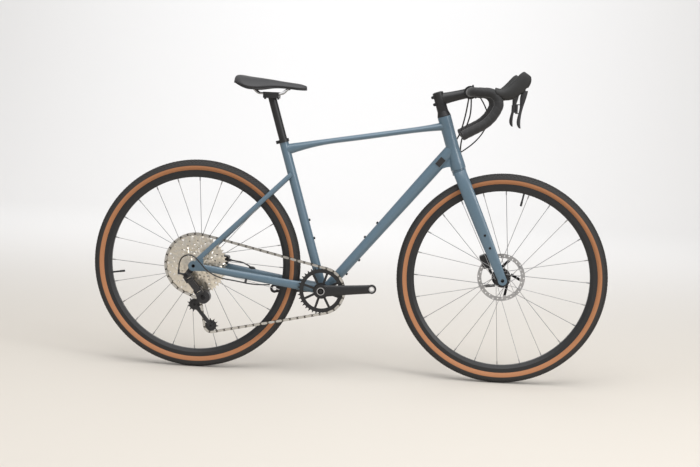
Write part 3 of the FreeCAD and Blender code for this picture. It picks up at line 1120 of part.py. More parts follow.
def seat_depth(solid, middle, along, out, reach):
    """How far a tube stands out from its middle line under a calliper's foot."""
    depths = []
    for step in SEAT_SHARES:
        for shift in SEAT_SHARES:
            start = middle + along * (S.caliper_length * step) + LEFT * (S.blade_lower_width * shift)
            if solid.isInside(start, ROUNDING, True):
                depths.append((surface_point(solid, start, out, reach) - start).Length)
    return max(depths)


blade_line = front_axle - fork_along * S.front_caliper_place + LEFT * tip_spread
blade_depth = seat_depth(left_blade, blade_line, fork_along, fork_back, S.blade_height)
front_caliper_centre = front_rotor_centre - fork_along * S.front_caliper_place + LEFT * S.caliper_shift
front_caliper_centre += fork_back * (blade_depth + S.seat_gap + S.caliper_height / 2)
keep(caliper("front", front_rotor_centre, front_caliper_centre, -fork_along, fork_back), "front_brake_caliper")
stay_ahead = -stay_along
stay_upright = stay_ahead.cross(LEFT)
stay_share = (S.rear_caliper_place - S.dropout_front) / (S.chainstay_length - S.chainstay_yoke - S.dropout_front)
stay_line = rear_axle + stay_ahead * S.rear_caliper_place
stay_line.y = dropout_middle - (dropout_middle - S.chainstay_yoke_spread) * float(stay_share)
left_stay = doc.getObject("chainstay_left_outside").Shape
stay_depth = seat_depth(left_stay, stay_line, stay_ahead, stay_upright, S.chainstay_yoke_height)
rear_caliper_centre = rear_rotor_centre + stay_ahead * S.rear_caliper_place + LEFT * S.caliper_shift
rear_caliper_centre += stay_upright * (stay_depth + S.seat_gap + S.caliper_height / 2)
keep(caliper("rear", rear_rotor_centre, rear_caliper_centre, stay_ahead, stay_upright), "rear_brake_caliper")


# Chain line: the loop of pitch circles and straight runs that the chain's pins follow

def pitch_radius(teeth):
    return S.pitch / (2 * math.sin(math.pi / teeth))


cage_pivot = rear_axle + Vec(S.cage_pivot_ahead, 0, -S.cage_pivot_drop)
guide_centre = rear_axle - UP * S.guide_drop
ring_y, cog_y = -S.chainline, -S.largest_cog_place


def tension_centre(angle):
    return guide_centre + around(S.cage_length, angle)


def chain_loop(cage_angle):
    """Arcs and runs in order, each as (length, function from distance to a point)."""
    wheels = [(bb, pitch_radius(RING_TEETH), 1, ring_y), (rear_axle, pitch_radius(COG_TEETH[0]), 1, cog_y),
              (guide_centre, pitch_radius(PULLEY_TEETH), -1, cog_y),
              (tension_centre(cage_angle), pitch_radius(PULLEY_TEETH), 1, cog_y)]
    runs = []
    for (centre, radius, turn, y), (to, to_radius, to_turn, to_y) in zip(wheels, wheels[1:] + wheels[:1]):
        gap = to - centre
        heading = math.atan2(gap.z, gap.x) - math.asin((to_turn * to_radius - turn * radius) / gap.Length)
        side = Vec(-math.sin(heading), 0, math.cos(heading))
        runs.append((centre - side * (turn * radius), to - side * (to_turn * to_radius), y, to_y))
    pieces = []
    for place, (centre, radius, turn, y) in enumerate(wheels):
        arrive, leave = runs[place - 1][1] - centre, runs[place][0] - centre
        first = math.atan2(arrive.z, arrive.x)
        sweep = (turn * (math.atan2(leave.z, leave.x) - first)) % (2 * math.pi)
        pieces.append((radius * sweep, "arc", centre, radius, turn, first, y))
        start, end, y, to_y = runs[place]
        pieces.append(((end - start).Length, "run", start, end, y, to_y))
    return pieces


def loop_point(pieces, distance):
    distance %= sum(piece[0] for piece in pieces)
    for piece in pieces:
        if distance <= piece[0]:
            break
        distance -= piece[0]
    if piece[1] == "arc":
        _, _, centre, radius, turn, first, y = piece
        angle = first + turn * distance / radius
        return Vec(centre.x + radius * math.cos(angle), y, centre.z + radius * math.sin(angle))
    length, _, start, end, y, to_y = piece
    share = distance / length
    point = start + (end - start) * share
    point.y = y + (to_y - y) * (1 - math.cos(math.pi * share)) / 2
    return point


def flat_gap(first, second):
    return math.hypot(first.x - second.x, first.z - second.z)


def walk(cage_angle, links):
    """Pins one pitch apart along the loop, and how far the last one overshoots the first."""
    pieces = chain_loop(cage_angle)
    distances = [0.0]
    for _ in range(links):
        here = loop_point(pieces, distances[-1])
        step = float(S.pitch)
        for _ in range(WALK_STEPS):
            step += S.pitch - flat_gap(here, loop_point(pieces, distances[-1] + step))
        distances.append(distances[-1] + step)
    return [loop_point(pieces, distance) for distance in distances[:-1]], distances[-1] - sum(p[0] for p in pieces)


# The cage angle at which an even number of links closes
WALK_STEPS, HALVINGS, CAGE_SEARCH = 6, 40, 14
nominal = sum(piece[0] for piece in chain_loop(float(S.cage_angle)))
CHAIN_LINKS = 2 * round(nominal / float(S.pitch) / 2)
angle_low, angle_high = float(S.cage_angle) - CAGE_SEARCH, float(S.cage_angle) + CAGE_SEARCH
low_sign = walk(angle_low, CHAIN_LINKS)[1] > 0
for _ in range(HALVINGS):
    cage_angle = (angle_low + angle_high) / 2
    if (walk(cage_angle, CHAIN_LINKS)[1] > 0) == low_sign:
        angle_low = cage_angle
    else:
        angle_high = cage_angle
pins, overshoot = walk(cage_angle, CHAIN_LINKS)
tension_point = tension_centre(cage_angle)
print(f"chain: {CHAIN_LINKS} links, cage at {cage_angle:.2f} degrees, closing error {overshoot:.4f} mm")


def plate_outline(y):
    """The outline of a chain plate: flat along its sides, blunt at both ends."""
    half, end, tall = S.pitch / 2, S.pitch / 2 + S.plate_end, S.plate_half_height
    corners = [(end, -tall * BLUNT_SHARE), (end, tall * BLUNT_SHARE), (half, tall), (-half, tall),
               (-end, tall * BLUNT_SHARE), (-end, -tall * BLUNT_SHARE), (-half, -tall), (half, -tall)]
    return Part.Face(Part.makePolygon([Vec(x, y, z) for x, z in corners + corners[:1]]))


BLUNT_SHARE = 0.45
half_inner = S.inner_width / 2
inner_face = half_inner + S.plate_thickness
outer_low = inner_face + S.chain_gap
outer_face = outer_low + S.plate_thickness
bore_radius = (S.pin_radius + S.chain_gap) * math.sqrt(2)
inner_solids, outer_solids, bores = [], [], []
for end in (-1, 1):
    at = Vec(end * S.pitch / 2, 0, 0)
    inner_solids.append(prism(at - LEFT * half_inner, at + LEFT * half_inner, S.roller_radius))
    bores.append(prism(at - LEFT * outer_face, at + LEFT * outer_face, bore_radius, sides=4))
    outer_solids.append(prism(at - LEFT * outer_face, at + LEFT * outer_face, S.pin_radius, sides=4))
for low, high, solids in ((half_inner, inner_face, inner_solids), (outer_low, outer_face, outer_solids)):
    solids.append(plate_outline(low).extrude(LEFT * (high - low)))
    solids.append(plate_outline(-high).extrude(LEFT * (high - low)))
inner_link = inner_solids[0].fuse(inner_solids[1:]).cut(Part.makeCompound(bores)).removeSplitter()
outer_link = outer_solids[0].fuse(outer_solids[1:]).removeSplitter()
links = {"chain_outer_links": [], "chain_inner_links": []}
for count, (pin, following) in enumerate(zip(pins, pins[1:] + pins[:1])):
    along = (following - pin).normalize()
    turn = FreeCAD.Rotation(along, LEFT, Vec(), "XYZ")
    kind, link = ("chain_outer_links", outer_link) if count % 2 else ("chain_inner_links", inner_link)
    placed = link.copy()
    placed.Placement = FreeCAD.Placement((pin + following) / 2, turn)
    links[kind].append(placed)
for name, solids in links.items():
    keep(feature(name, Part.makeCompound(solids)), name)


# Toothed wheels

def toothed(teeth, first_pin, centre, y, thickness, land):
    """A toothed disc whose gullets lie under the pins of the chain."""
    radius = pitch_radius(teeth)
    root = radius - S.roller_radius - S.tooth_gap
    start = math.atan2(first_pin.z - centre.z, first_pin.x - centre.x)
    corners = []
    for count in range(teeth):
        for turn, length, half in ((0, root, S.root_half_width), (0.5, radius + S.tooth_height, land / 2)):
            angle = start + 2 * math.pi * (count + turn) / teeth
            out, along = Vec(math.cos(angle), 0, math.sin(angle)), Vec(-math.sin(angle), 0, math.cos(angle))
            ends = (-half, half) if half else (0,)
            corners += [centre + out * length + along * shift for shift in ends]
    corners = [Vec(corner.x, y - thickness / 2, corner.z) for corner in corners]
    return Part.Face(Part.makePolygon(corners + corners[:1])).extrude(LEFT * thickness)


def pin_on(centre, radius):
    """The chain pin that lies best on a pitch circle."""
    return min(pins, key=lambda pin: abs(flat_gap(pin, centre) - radius))


# Chainring: a toothed band on slim arms round a hub that fits the crank
ring_root = pitch_radius(RING_TEETH) - S.roller_radius - S.tooth_gap
ring_pin = pin_on(bb, pitch_radius(RING_TEETH))
band = feature("ring_teeth", toothed(RING_TEETH, ring_pin, bb, ring_y, S.ring_thickness, S.tooth_land))
band_room = cylinder("ring_room", ring_root - S.ring_band, S.ring_thickness * 4,
                     sideways(bb + LEFT * (ring_y - S.ring_thickness * 2)))
ring_low, ring_high = ring_y - S.ring_thickness / 2, ring_y + S.ring_thickness / 2
ring_parts = [cut("ring_band", band, [band_room]),
              ring("ring_hub", S.ring_bore, S.ring_hub_radius, ring_low, ring_high, bb_place)]
arm_run = ring_root - S.ring_band - S.ring_hub_radius + S.ring_arm
for count in range(RING_ARMS):
    angle = 360 / RING_ARMS * (count + 0.5) + S.crank_angle
    middle = bb + around((ring_root - S.ring_band + S.ring_hub_radius) / 2, angle, ring_y)
    ring_parts.append(box(f"ring_arm_{count + 1}", arm_run, S.ring_thickness, S.ring_arm,
                          FreeCAD.Placement(middle, FreeCAD.Rotation(LEFT, -angle))))
keep(fuse("chainring", ring_parts), "chainring")

# Crank arms: tapered, leaning out towards the pedal holes; the right one carries the spindle
crank_ends = {}
CRANK_SHARES = ((0, 0), (0.45, 0.5), (1, 1))
for name, side in SIDES.items():
    turn = math.radians(S.crank_angle + (180 if side > 0 else 0))
    out, upright = Vec(math.cos(turn), 0, math.sin(turn)), Vec(-math.sin(turn), 0, math.cos(turn))
    crank_y = S.crank_inset + S.crank_thickness / 2
    sizes = ((S.crank_thickness, S.crank_height), (S.crank_thickness, S.crank_waist),
             (S.crank_end_thickness, S.crank_end_height))
    arm = oval_loft(f"{name}_crank_arm", [
        (bb + out * (S.crank_length * along) + LEFT * (side * (crank_y + S.crank_flare * lean)), LEFT, upright, *size)
        for (along, lean), size in zip(CRANK_SHARES, sizes)])
    boss_height = S.crank_thickness + S.crank_boss_rise
    face = S.crank_inset if side > 0 else -S.crank_inset - boss_height
    end = bb + out * S.crank_length
    end_y = crank_y + S.crank_flare
    crank_ends[name] = end + LEFT * (side * end_y)
    parts = [arm,
             cylinder(f"{name}_crank_boss", S.crank_boss_radius, boss_height, sideways(bb + LEFT * face)),
             cylinder(f"{name}_crank_end", S.crank_end_radius, S.crank_end_thickness,
                      sideways(crank_ends[name] - LEFT * (S.crank_end_thickness / 2)))]
    tools = [cylinder(f"{name}_pedal_hole", S.pedal_hole_radius, S.crank_thickness * 3,
                      sideways(crank_ends[name] - LEFT * (S.crank_thickness * 3 / 2)))]
    if side < 0:
        parts.append(cylinder("spindle", spindle_radius, S.crank_inset * 2 + S.crank_thickness,
                              sideways(bb - LEFT * S.crank_inset)))
        parts.append(cylinder(
            "ring_seat", S.ring_bore - S.seat_gap, S.crank_inset - S.chainline + S.ring_thickness,
            sideways(bb - LEFT * S.crank_inset)))
    else:
        tools.append(cylinder("left_spindle_hole", spindle_radius + S.seat_gap, S.crank_inset * 2, bb_place))
    keep(cut(f"crank_arm_{name}", fuse(f"{name}_crank_solid", parts), tools), f"crank_arm_{name}")
fittings = []
for name, side in SIDES.items():
    cap_y = side * (S.crank_inset + boss_height + S.seat_gap)
    insert_y = side * (S.crank_inset + S.crank_thickness / 2 + S.crank_flare + S.crank_end_thickness / 2 + S.seat_gap)
    fittings.append(ring(f"{name}_crank_cap", S.crank_cap_radius / 2, S.crank_cap_radius,
                         cap_y, cap_y + side * S.crank_cap_height, bb_place))
    fittings.append(ring(f"{name}_pedal_insert", S.pedal_hole_radius, S.pedal_insert_radius, insert_y,
                         insert_y + side * S.crank_cap_height, sideways(mirrored(crank_ends[name], 0))))
keep(group("crank_fittings", fittings), "crank_fittings")

# Cassette: toothed rings stepped up into a hollow dome on the freehub; arms carry the largest
COG_ARMS = 6
cog_place = sideways(rear_axle)
cog_parts = [ring("freehub", axle_radius + S.running_gap, S.freehub_radius,
                  S.side_gap - half_rear, -S.rear_flange_right - S.hub_end - S.side_gap, cog_place)]
cog_pin = pin_on(rear_axle, pitch_radius(COG_TEETH[0]))


def cog_root(teeth):
    return S.pitch / (2 * math.sin(math.pi / teeth)) - S.roller_radius - S.tooth_gap


def step_radius(count):
    """The inside of a cog, which is the inside of the step up from the next smaller one."""
    smaller = COG_TEETH[min(count + 1, len(COG_TEETH) - 1)]
    return max(cog_root(smaller) - S.cog_step, S.freehub_radius)


for count, teeth in enumerate(COG_TEETH):
    y = cog_y - S.cog_pitch * count
    land = S.tooth_land if count == 0 else 0
    blank = feature(f"cog_teeth_{count + 1}", toothed(teeth, cog_pin, rear_axle, y, S.cog_thickness, land))
    inside = step_radius(count)
    bore = cylinder(f"cog_bore_{count + 1}", inside, S.cog_thickness * 3,
                    sideways(rear_axle + LEFT * (y - S.cog_thickness * 3 / 2)))
    cog_parts.append(cut(f"cog_{count + 1}", blank, [bore]))
    if count + 1 < len(COG_TEETH):
        step_outer = max(cog_root(COG_TEETH[count + 1]) - S.cog_step / 3, S.freehub_radius + S.cog_step / 3)
        cog_parts.append(ring(f"cog_step_{count + 1}", inside, step_outer, y - S.cog_pitch + S.cog_thickness / 2,
                              y - S.cog_thickness / 2, cog_place))
arm_run = step_radius(0) - S.freehub_radius + S.cog_step
for count in range(COG_ARMS):
    angle = 360 / COG_ARMS * count
    middle = rear_axle + around((step_radius(0) + S.freehub_radius) / 2, angle, cog_y)
    cog_parts.append(box(f"cog_arm_{count + 1}", arm_run, S.cog_thickness, S.cog_arm,
                         FreeCAD.Placement(middle, FreeCAD.Rotation(LEFT, -angle))))
keep(fuse("cassette", cog_parts), "cassette")

# Rear derailleur: two knuckles joined by a pair of links, with the cage and its pulleys below.
# Its own frame runs along the links (x), to the left (y) and along the link pins (z).
link_run = cage_pivot - hanger_point
link_along = Vec(link_run).normalize()
derailleur_place = FreeCAD.Placement(
    hanger_point, FreeCAD.Rotation(link_along, LEFT, link_along.cross(LEFT), "XYZ"))


def in_derailleur(x, y, z, turn=0):
    return derailleur_place.multiply(FreeCAD.Placement(Vec(x, y, z), FreeCAD.Rotation(UP, turn)))


def span_box(name, x, y, z):
    """A block in the derailleur's frame between three pairs of limits."""
    size = [high - low for low, high in (x, y, z)]
    return box(name, *size, in_derailleur(*[(low + high) / 2 for low, high in (x, y, z)]))


link_swing = math.radians(S.link_angle)
link_ahead, link_aside = S.link_length * math.cos(link_swing), S.link_length * math.sin(link_swing)
half_link = S.link_height / 2
ear_low, ear_high = half_link + S.side_gap, half_link + S.side_gap + S.ear_thickness
link_sides = {"outer": -S.link_outer_side, "inner": -S.link_inner_side}
pivot_ends = {"b": (S.link_start, 0 * link_aside), "p": (S.link_start + link_ahead, link_aside)}


def knuckle_ears(name, block_x, extra):
    """Ears above and below the links on one knuckle, with the block behind them and the link pins."""
    along, aside = pivot_ends[name]
    y = (-S.link_outer_side - S.ear_radius + aside, -S.link_inner_side + S.ear_radius / 10 + aside)
    parts = [span_box(f"{name}_block", block_x, y, (-ear_high, ear_high))]
    near = min(along, block_x[0]), max(along, block_x[1])
    for level, sign in {"upper": 1, "lower": -1}.items():
        z = (ear_low, ear_high) if sign > 0 else (-ear_high, -ear_low)
        parts.append(span_box(f"{name}_{level}_ear", near, y, z))
        for side, place in link_sides.items():
            parts.append(cylinder(f"{name}_{level}_{side}_ear_end", S.ear_radius, S.ear_thickness,
                                  in_derailleur(along, place + aside, z[0])))
    for side, place in link_sides.items():
        parts.append(cylinder(f"{name}_{side}_link_pin", S.link_pin_radius, ear_high * 2,
                              in_derailleur(along, place + aside, -ear_high)))
    return parts + extra


# The knuckle on the hanger, with its bolt and the barrel that takes the housing
hanger_face = half_rear + S.dropout_thickness + S.side_gap
knuckle_outer = S.link_outer_side + S.ear_radius
hanger_bolt = cylinder("hanger_bolt", S.hanger_bolt_radius, knuckle_outer - half_rear,
                       sideways(hanger_point - LEFT * knuckle_outer))
knuckle_body = cylinder("b_knuckle_body", S.knuckle_radius, knuckle_outer - hanger_face,
                        sideways(hanger_point - LEFT * knuckle_outer))
barrel_side = (S.link_outer_side + S.link_inner_side) / 2
barrel_foot = hanger_point + Vec(-S.barrel_back, -barrel_side, S.barrel_rise)
barrel_arm = cylinder("barrel_arm", S.barrel_radius, Length(Vec(S.barrel_back, 0, S.barrel_rise).Length,
                      f"sqrt({S.barrel_back.formula} ^ 2 + {S.barrel_rise.formula} ^ 2)"),
                      facing(hanger_point - LEFT * barrel_side, Vec(-S.barrel_back, 0, S.barrel_rise)))
barrel = cylinder("barrel", S.barrel_radius, S.barrel_length, facing(barrel_foot - UP * S.barrel_radius, UP))
block_end = S.link_start - S.link_end_radius - S.block_start
keep(fuse("derailleur_b_knuckle", knuckle_ears("b", (0 * S.link_start, block_end),
                                               [hanger_bolt, knuckle_body, barrel_arm, barrel])),
     "derailleur_b_knuckle")

# The two links
for side, place in link_sides.items():
    middle = in_derailleur(S.link_start + link_ahead / 2, place + link_aside / 2, 0, S.link_angle)
    parts = [box(f"{side}_link_bar", S.link_length, S.link_thickness, S.link_height, middle)]
    tools = []
    for name, (along, aside) in pivot_ends.items():
        parts.append(cylinder(f"{side}_link_{name}_end", S.link_end_radius, S.link_height,
                              in_derailleur(along, place + aside, -half_link)))
        tools.append(cylinder(f"{side}_link_{name}_bore", S.link_pin_radius + S.running_gap, S.link_height * 2,
                              in_derailleur(along, place + aside, -S.link_height)))
    keep(cut(f"derailleur_{side}_link", fuse(f"{side}_link_solid", parts), tools), f"derailleur_{side}_link")

# The lower knuckle, with the round clutch housing and the shaft of the cage
plate_outer = S.largest_cog_place + S.pulley_hub_width / 2 + S.side_gap + S.cage_thickness
clutch = cylinder("clutch", S.clutch_radius, S.clutch_outer_side - S.clutch_inner_side,
                  sideways(cage_pivot - LEFT * S.clutch_outer_side))
shoulder = cylinder("cage_shoulder", S.cage_end_radius, S.clutch_inner_side - plate_outer - S.side_gap,
                    sideways(cage_pivot - LEFT * S.clutch_inner_side))
shaft = cylinder("cage_shaft", S.cage_shaft_radius, S.clutch_inner_side - plate_outer + S.cage_thickness,
                 sideways(cage_pivot - LEFT * S.clutch_inner_side))
p_start = S.link_start + link_ahead + S.link_end_radius + S.block_start
keep(fuse("derailleur_p_knuckle", knuckle_ears("p", (p_start, p_start + S.knuckle_radius),
                                               [clutch, shoulder, shaft])), "derailleur_p_knuckle")

# The cage: an outer plate hung on the shaft, an inner plate, and the two pulley bolts
plate_low = {"outer": -plate_outer, "inner": plate_outer - S.cage_thickness - 2 * S.largest_cog_place}
cage_parts = []


def cage_bar(name, start, end, y):
    run = end - start
    middle = (start + end) / 2 + LEFT * (y + S.cage_thickness / 2)
    turn = FreeCAD.Rotation(LEFT, -math.degrees(math.atan2(run.z, run.x)))
    return box(name, Length(run.Length, repr(run.Length)), S.cage_thickness, S.cage_arm,
               FreeCAD.Placement(middle, turn))


for side, low in plate_low.items():
    cage_parts.append(cage_bar(f"{side}_cage_bar", guide_centre, tension_point, low))
    ends = {"guide": guide_centre, "tension": tension_point}
    if side == "outer":
        cage_parts.append(cage_bar("cage_neck", guide_centre, cage_pivot, low))
        ends["pivot"] = cage_pivot
    cage_parts += [cylinder(f"{side}_{end}_cage_end", S.cage_end_radius, S.cage_thickness,
                            sideways(point + LEFT * low)) for end, point in ends.items()]
bolt_length = S.pulley_hub_width + 2 * (S.side_gap + S.cage_thickness)
cage_parts += [cylinder(f"{end}_bolt", S.pulley_bolt_radius, bolt_length, sideways(point - LEFT * plate_outer))
               for end, point in (("guide", guide_centre), ("tension", tension_point))]
shaft_bore = cylinder("shaft_bore", S.cage_shaft_radius + S.running_gap, S.cage_thickness * 3,
                      sideways(cage_pivot - LEFT * (plate_outer + S.cage_thickness)))
keep(cut("derailleur_cage", fuse("cage_solid", cage_parts), [shaft_bore]), "derailleur_cage")

# Pulleys: toothed, with a hub that keeps them between the plates
for name, centre in (("guide", guide_centre), ("tension", tension_point)):
    pin = pin_on(centre, pitch_radius(PULLEY_TEETH))
    teeth = feature(f"{name}_teeth", toothed(PULLEY_TEETH, pin, centre, cog_y, S.pulley_thickness, S.tooth_land))
    at = centre + LEFT * (cog_y - S.pulley_hub_width / 2)
    hub = cylinder(f"{name}_pulley_hub", S.pulley_hub_radius, S.pulley_hub_width, sideways(at))
    bore = cylinder(f"{name}_pulley_bore", S.pulley_bolt_radius + S.running_gap, S.pulley_hub_width * 2,
                    sideways(at - LEFT * (S.pulley_hub_width / 2)))
    keep(cut(f"{name}_pulley", fuse(f"{name}_pulley_solid", [teeth, hub]), [bore]), f"{name}_pulley")


# Cables and hoses: straight runs joined by arcs as wide as each corner allows

ARC_SHARE = 0.45


def route(name, corners, radius):
    radii = []
    for before, corner, after in zip(corners, corners[1:], corners[2:]):
        shorter = min((corner - before).Length, (after - corner).Length)
        half_turn = (corner - before).getAngle(after - corner) / 2
        radii.append(ARC_SHARE * shorter / math.tan(half_turn))
    wire = bent(corners, radii)
    print(f"{name}: {wire.Length:.0f} mm long, bend radii " + " ".join(f"{bend:.0f}" for bend in radii))
    return swept(name, wire, radius)


hose_radius, housing_radius = S.hose_diameter / 2, S.housing_diameter / 2


def beside(origin, shares):
    """Route points forward, left and up of an origin, in thousandths of the wheelbase."""
    return [origin + Vec(*row) * (S.wheelbase / 1000) for row in shares]


# Hoses from the bar to the left port of the down tube; they bend as the bar is turned
REAR_HOSE_SHARES = (
    (-5, -51, -17), (-10, -40, -59), (-17, -13, -97), (-26, 24, -136), (-49, 39, -176), (-68, 37, -207))
SHIFT_HOUSING_SHARES = (
    (25, -175, -13), (49, -168, -47), (57, -142, -90), (43, -101, -127), (20, -57, -158), (-6, -12, -182),
    (-32, 35, -202), (-62, 41, -222))
port_point = down_start + down_along * S.port_place
left_port = Vec(port_point.x, S.port_reach + hose_radius, port_point.z)
PORT_STEP_SHARE = 0.35
hose_ends = {"rear_hose": left_port + down_along * (S.port_length * PORT_STEP_SHARE),
             "shift_housing": left_port - down_along * (S.port_length * PORT_STEP_SHARE)}
rear_points = beside(bar_centre, REAR_HOSE_SHARES) + [hose_ends["rear_hose"]]
shift_points = beside(bar_centre, SHIFT_HOUSING_SHARES) + [hose_ends["shift_housing"]]
rear_hose = route("rear_hose_front", rear_points, hose_radius)
shift_front = route("shift_housing_front", shift_points, housing_radius)
keep(group("front_hoses", [rear_hose, shift_front]), "front_hoses")

# Front brake hose: from the bar down the left side of the head tube into the fork
FRONT_HOSE_SHARES = (
    (5, 51, -17), (8, 47, -60), (-4, 45, -105), (-19, 46, -146), (-23, 49, -190), (-15, 51, -234))
left_shoulder = head_low + fork_along * S.fork_shoulder + LEFT * S.fork_shoulder_spread
FORK_ENTRY_RISE_SHARE, FORK_ENTRY_LIFT_SHARE = 2, 1.3
fork_entry_out = (LEFT + UP * FORK_ENTRY_RISE_SHARE).normalize()
fork_entry = surface_point(left_blade, left_shoulder, fork_entry_out, S.blade_height * 2)
front_points = beside(bar_centre, FRONT_HOSE_SHARES)
front_points.append(fork_entry + fork_entry_out * (hose_radius * FORK_ENTRY_LIFT_SHARE))
keep(route("front_brake_hose", front_points, hose_radius), "front_brake_hose")

# Rear brake hose: from the calliper along the left chainstay and into it
hose_start = rear_caliper_centre + stay_ahead * (S.caliper_length / 2 + S.seat_gap)
ENTRY_SHARE, ENTRY_LEAN_SHARE, ENTRY_RISE_SHARE, ENTRY_LIFT_SHARE = 0.42, 0.47, 0.45, 1.25
entry_line = rear_axle + stay_ahead * (S.chainstay_length * ENTRY_SHARE)
entry_line.y = dropout_middle - (dropout_middle - S.chainstay_yoke_spread) * ENTRY_LEAN_SHARE
stay_entry = surface_point(left_stay, entry_line, stay_upright, S.chainstay_yoke_height)
entry_out = (stay_upright * ENTRY_RISE_SHARE - stay_ahead).normalize()
hose_step = S.caliper_length / 2
brake_hose = route("rear_brake_hose", [
    hose_start, hose_start + stay_ahead * hose_step,
    stay_entry + entry_out * S.chainstay_yoke_spread,
    stay_entry + entry_out * (S.hose_diameter * ENTRY_LIFT_SHARE)], hose_radius)

# Rear shift housing: out of the right chainstay, round behind the dropout and into the barrel
REAR_HOUSING_SHARES = (
    (-45, -88, 17), (-25, -91, 37), (2, -92, 37), (26, -92, 13), (49, -88, -14), (88, -78, -35),
    (142, -67, -43), (198, -60, -54))
HOUSING_ENTRY_SHARE, HOUSING_LEAN_SHARE, CLIP_LEAN_SHARE = 0.6, 0.72, 0.52
right_stay = doc.getObject("chainstay_right_outside").Shape
housing_line = rear_axle + stay_ahead * (S.chainstay_length * HOUSING_ENTRY_SHARE)
housing_line.y = -dropout_middle + (dropout_middle - S.chainstay_yoke_spread) * HOUSING_LEAN_SHARE
housing_entry = surface_point(right_stay, housing_line, -stay_upright, S.chainstay_yoke_height)
barrel_top = barrel_foot + UP * (S.barrel_length - S.barrel_radius + S.seat_gap)
housing_points = beside(rear_axle, REAR_HOUSING_SHARES)
housing_points[0].x, housing_points[0].y = barrel_top.x, barrel_top.y
housing_end = housing_entry - stay_upright * (housing_radius + S.side_gap)
rear_housing = route("rear_shift_housing", [barrel_top] + housing_points + [housing_end], housing_radius)
keep(group("rear_hoses", [brake_hose, rear_housing]), "rear_hoses")

# Frame fittings: bottle bosses, cable ports and the housing's clip
fittings = []
down_skin = doc.getObject("down_tube_skin")
seat_ahead = seat_up.cross(LEFT) * -1
rows = (("down", down_skin.Shape, down_start, down_along, down_up, S.down_boss_place),
        ("under", down_skin.Shape, down_start, down_along, -down_up, S.under_boss_place),
        ("seat", seat_envelope.Shape, bb, seat_up, seat_ahead, S.seat_boss_place))
for name, skin, start, along, out, place in rows:
    for count in (0, 1):
        line = start + along * (place + S.bottle_spacing * count)
        foot = surface_point(skin, line, out, S.down_tube_height * 2)
        fittings.append(ring(f"{name}_boss_{count + 1}", S.bottle_boss_bore, S.bottle_boss_radius,
                             S.seat_gap, S.bottle_boss_height, facing(foot, out)))
for name, side in SIDES.items():
    block = box(f"{name}_port_block", S.port_length, S.port_reach, S.port_height, FreeCAD.Placement(
        Vec(port_point.x, side * S.port_reach / 2, port_point.z),
        FreeCAD.Rotation(LEFT, -math.degrees(math.atan2(down_along.z, down_along.x)))))
    fittings.append(cut(f"{name}_port", block, [down_skin]))
clip_at = (housing_points[-1] + housing_points[-2]) / 2
clip_aim = rear_axle + stay_ahead * (rear_axle - clip_at).dot(stay_along)
clip_aim.y = -dropout_middle + (dropout_middle - S.chainstay_yoke_spread) * CLIP_LEAN_SHARE
clip_run = clip_aim - clip_at
clip_post = cylinder("clip_post", S.clip_radius, Length(clip_run.Length, repr(clip_run.Length)),
                     facing(clip_at, clip_run))
clip_room = cylinder("clip_room", housing_radius + S.seat_gap, S.bottle_spacing,
                     facing(clip_at - (housing_points[-1] - clip_at).normalize() * (S.bottle_spacing / 2),
                            housing_points[-1] - clip_at))
fittings.append(cut("housing_clip", clip_post, [clip_room, doc.getObject("chainstay_right_outside")]))
keep(group("frame_fittings", fittings), "frame_fittings")

# Checks and files
doc.recompute()
for part in doc.Objects:
    if "Invalid" in part.State or "Error" in part.State:
        raise RuntimeError(f"{part.Name} did not build")
os.makedirs("parts", exist_ok=True)
for part in nodes:
    if part.Shape.isNull() or not part.Shape.isValid():
        raise RuntimeError(f"{part.Label} has no valid shape")
    part.Shape.exportStep(f"parts/{part.Label}.step")
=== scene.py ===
import math

import bmesh
import bpy
from mathutils import Matrix, Vector


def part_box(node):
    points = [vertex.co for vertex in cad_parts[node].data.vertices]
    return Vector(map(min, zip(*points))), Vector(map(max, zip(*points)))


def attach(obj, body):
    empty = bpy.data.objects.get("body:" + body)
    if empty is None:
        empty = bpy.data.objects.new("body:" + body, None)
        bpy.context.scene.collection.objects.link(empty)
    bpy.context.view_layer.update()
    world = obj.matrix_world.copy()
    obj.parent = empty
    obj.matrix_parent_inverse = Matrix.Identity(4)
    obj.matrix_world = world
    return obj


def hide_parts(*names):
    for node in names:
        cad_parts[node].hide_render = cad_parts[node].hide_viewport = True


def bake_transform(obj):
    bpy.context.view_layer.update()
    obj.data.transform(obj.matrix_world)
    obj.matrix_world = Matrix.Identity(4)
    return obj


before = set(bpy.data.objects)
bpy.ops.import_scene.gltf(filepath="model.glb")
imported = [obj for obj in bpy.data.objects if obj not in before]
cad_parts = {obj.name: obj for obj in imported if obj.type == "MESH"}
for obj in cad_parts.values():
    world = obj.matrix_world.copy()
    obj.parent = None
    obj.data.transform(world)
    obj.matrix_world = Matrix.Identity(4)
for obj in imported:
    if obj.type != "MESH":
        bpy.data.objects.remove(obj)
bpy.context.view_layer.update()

# Frame: shaped aluminium tubes, welded at the joints and painted all over in one satin grey-blue.
# The paint lies a little thick, so its gloss wavers slightly along the tubes.
MM = 0.001
TONE_STOPS = (0.35, 0.65)


def linear(colour):
    """An sRGB hex colour as linear red, green, blue and full alpha."""
    channels = [int(colour[at:at + 2], 16) / 255 for at in (1, 3, 5)]
    return [c / 12.92 if c <= 0.04045 else ((c + 0.055) / 1.055) ** 2.4 for c in channels] + [1.0]


def add(tree, kind, inputs=None, **settings):
    """Adds a node, sets its properties, and gives each named input a value or a link."""
    made = tree.nodes.new("ShaderNode" + kind)
    for name, value in settings.items():
        setattr(made, name, value)
    for name, value in (inputs or {}).items():
        if isinstance(value, bpy.types.NodeSocket):
            tree.links.new(value, made.inputs[name])
        else:
            made.inputs[name].default_value = value
    return made


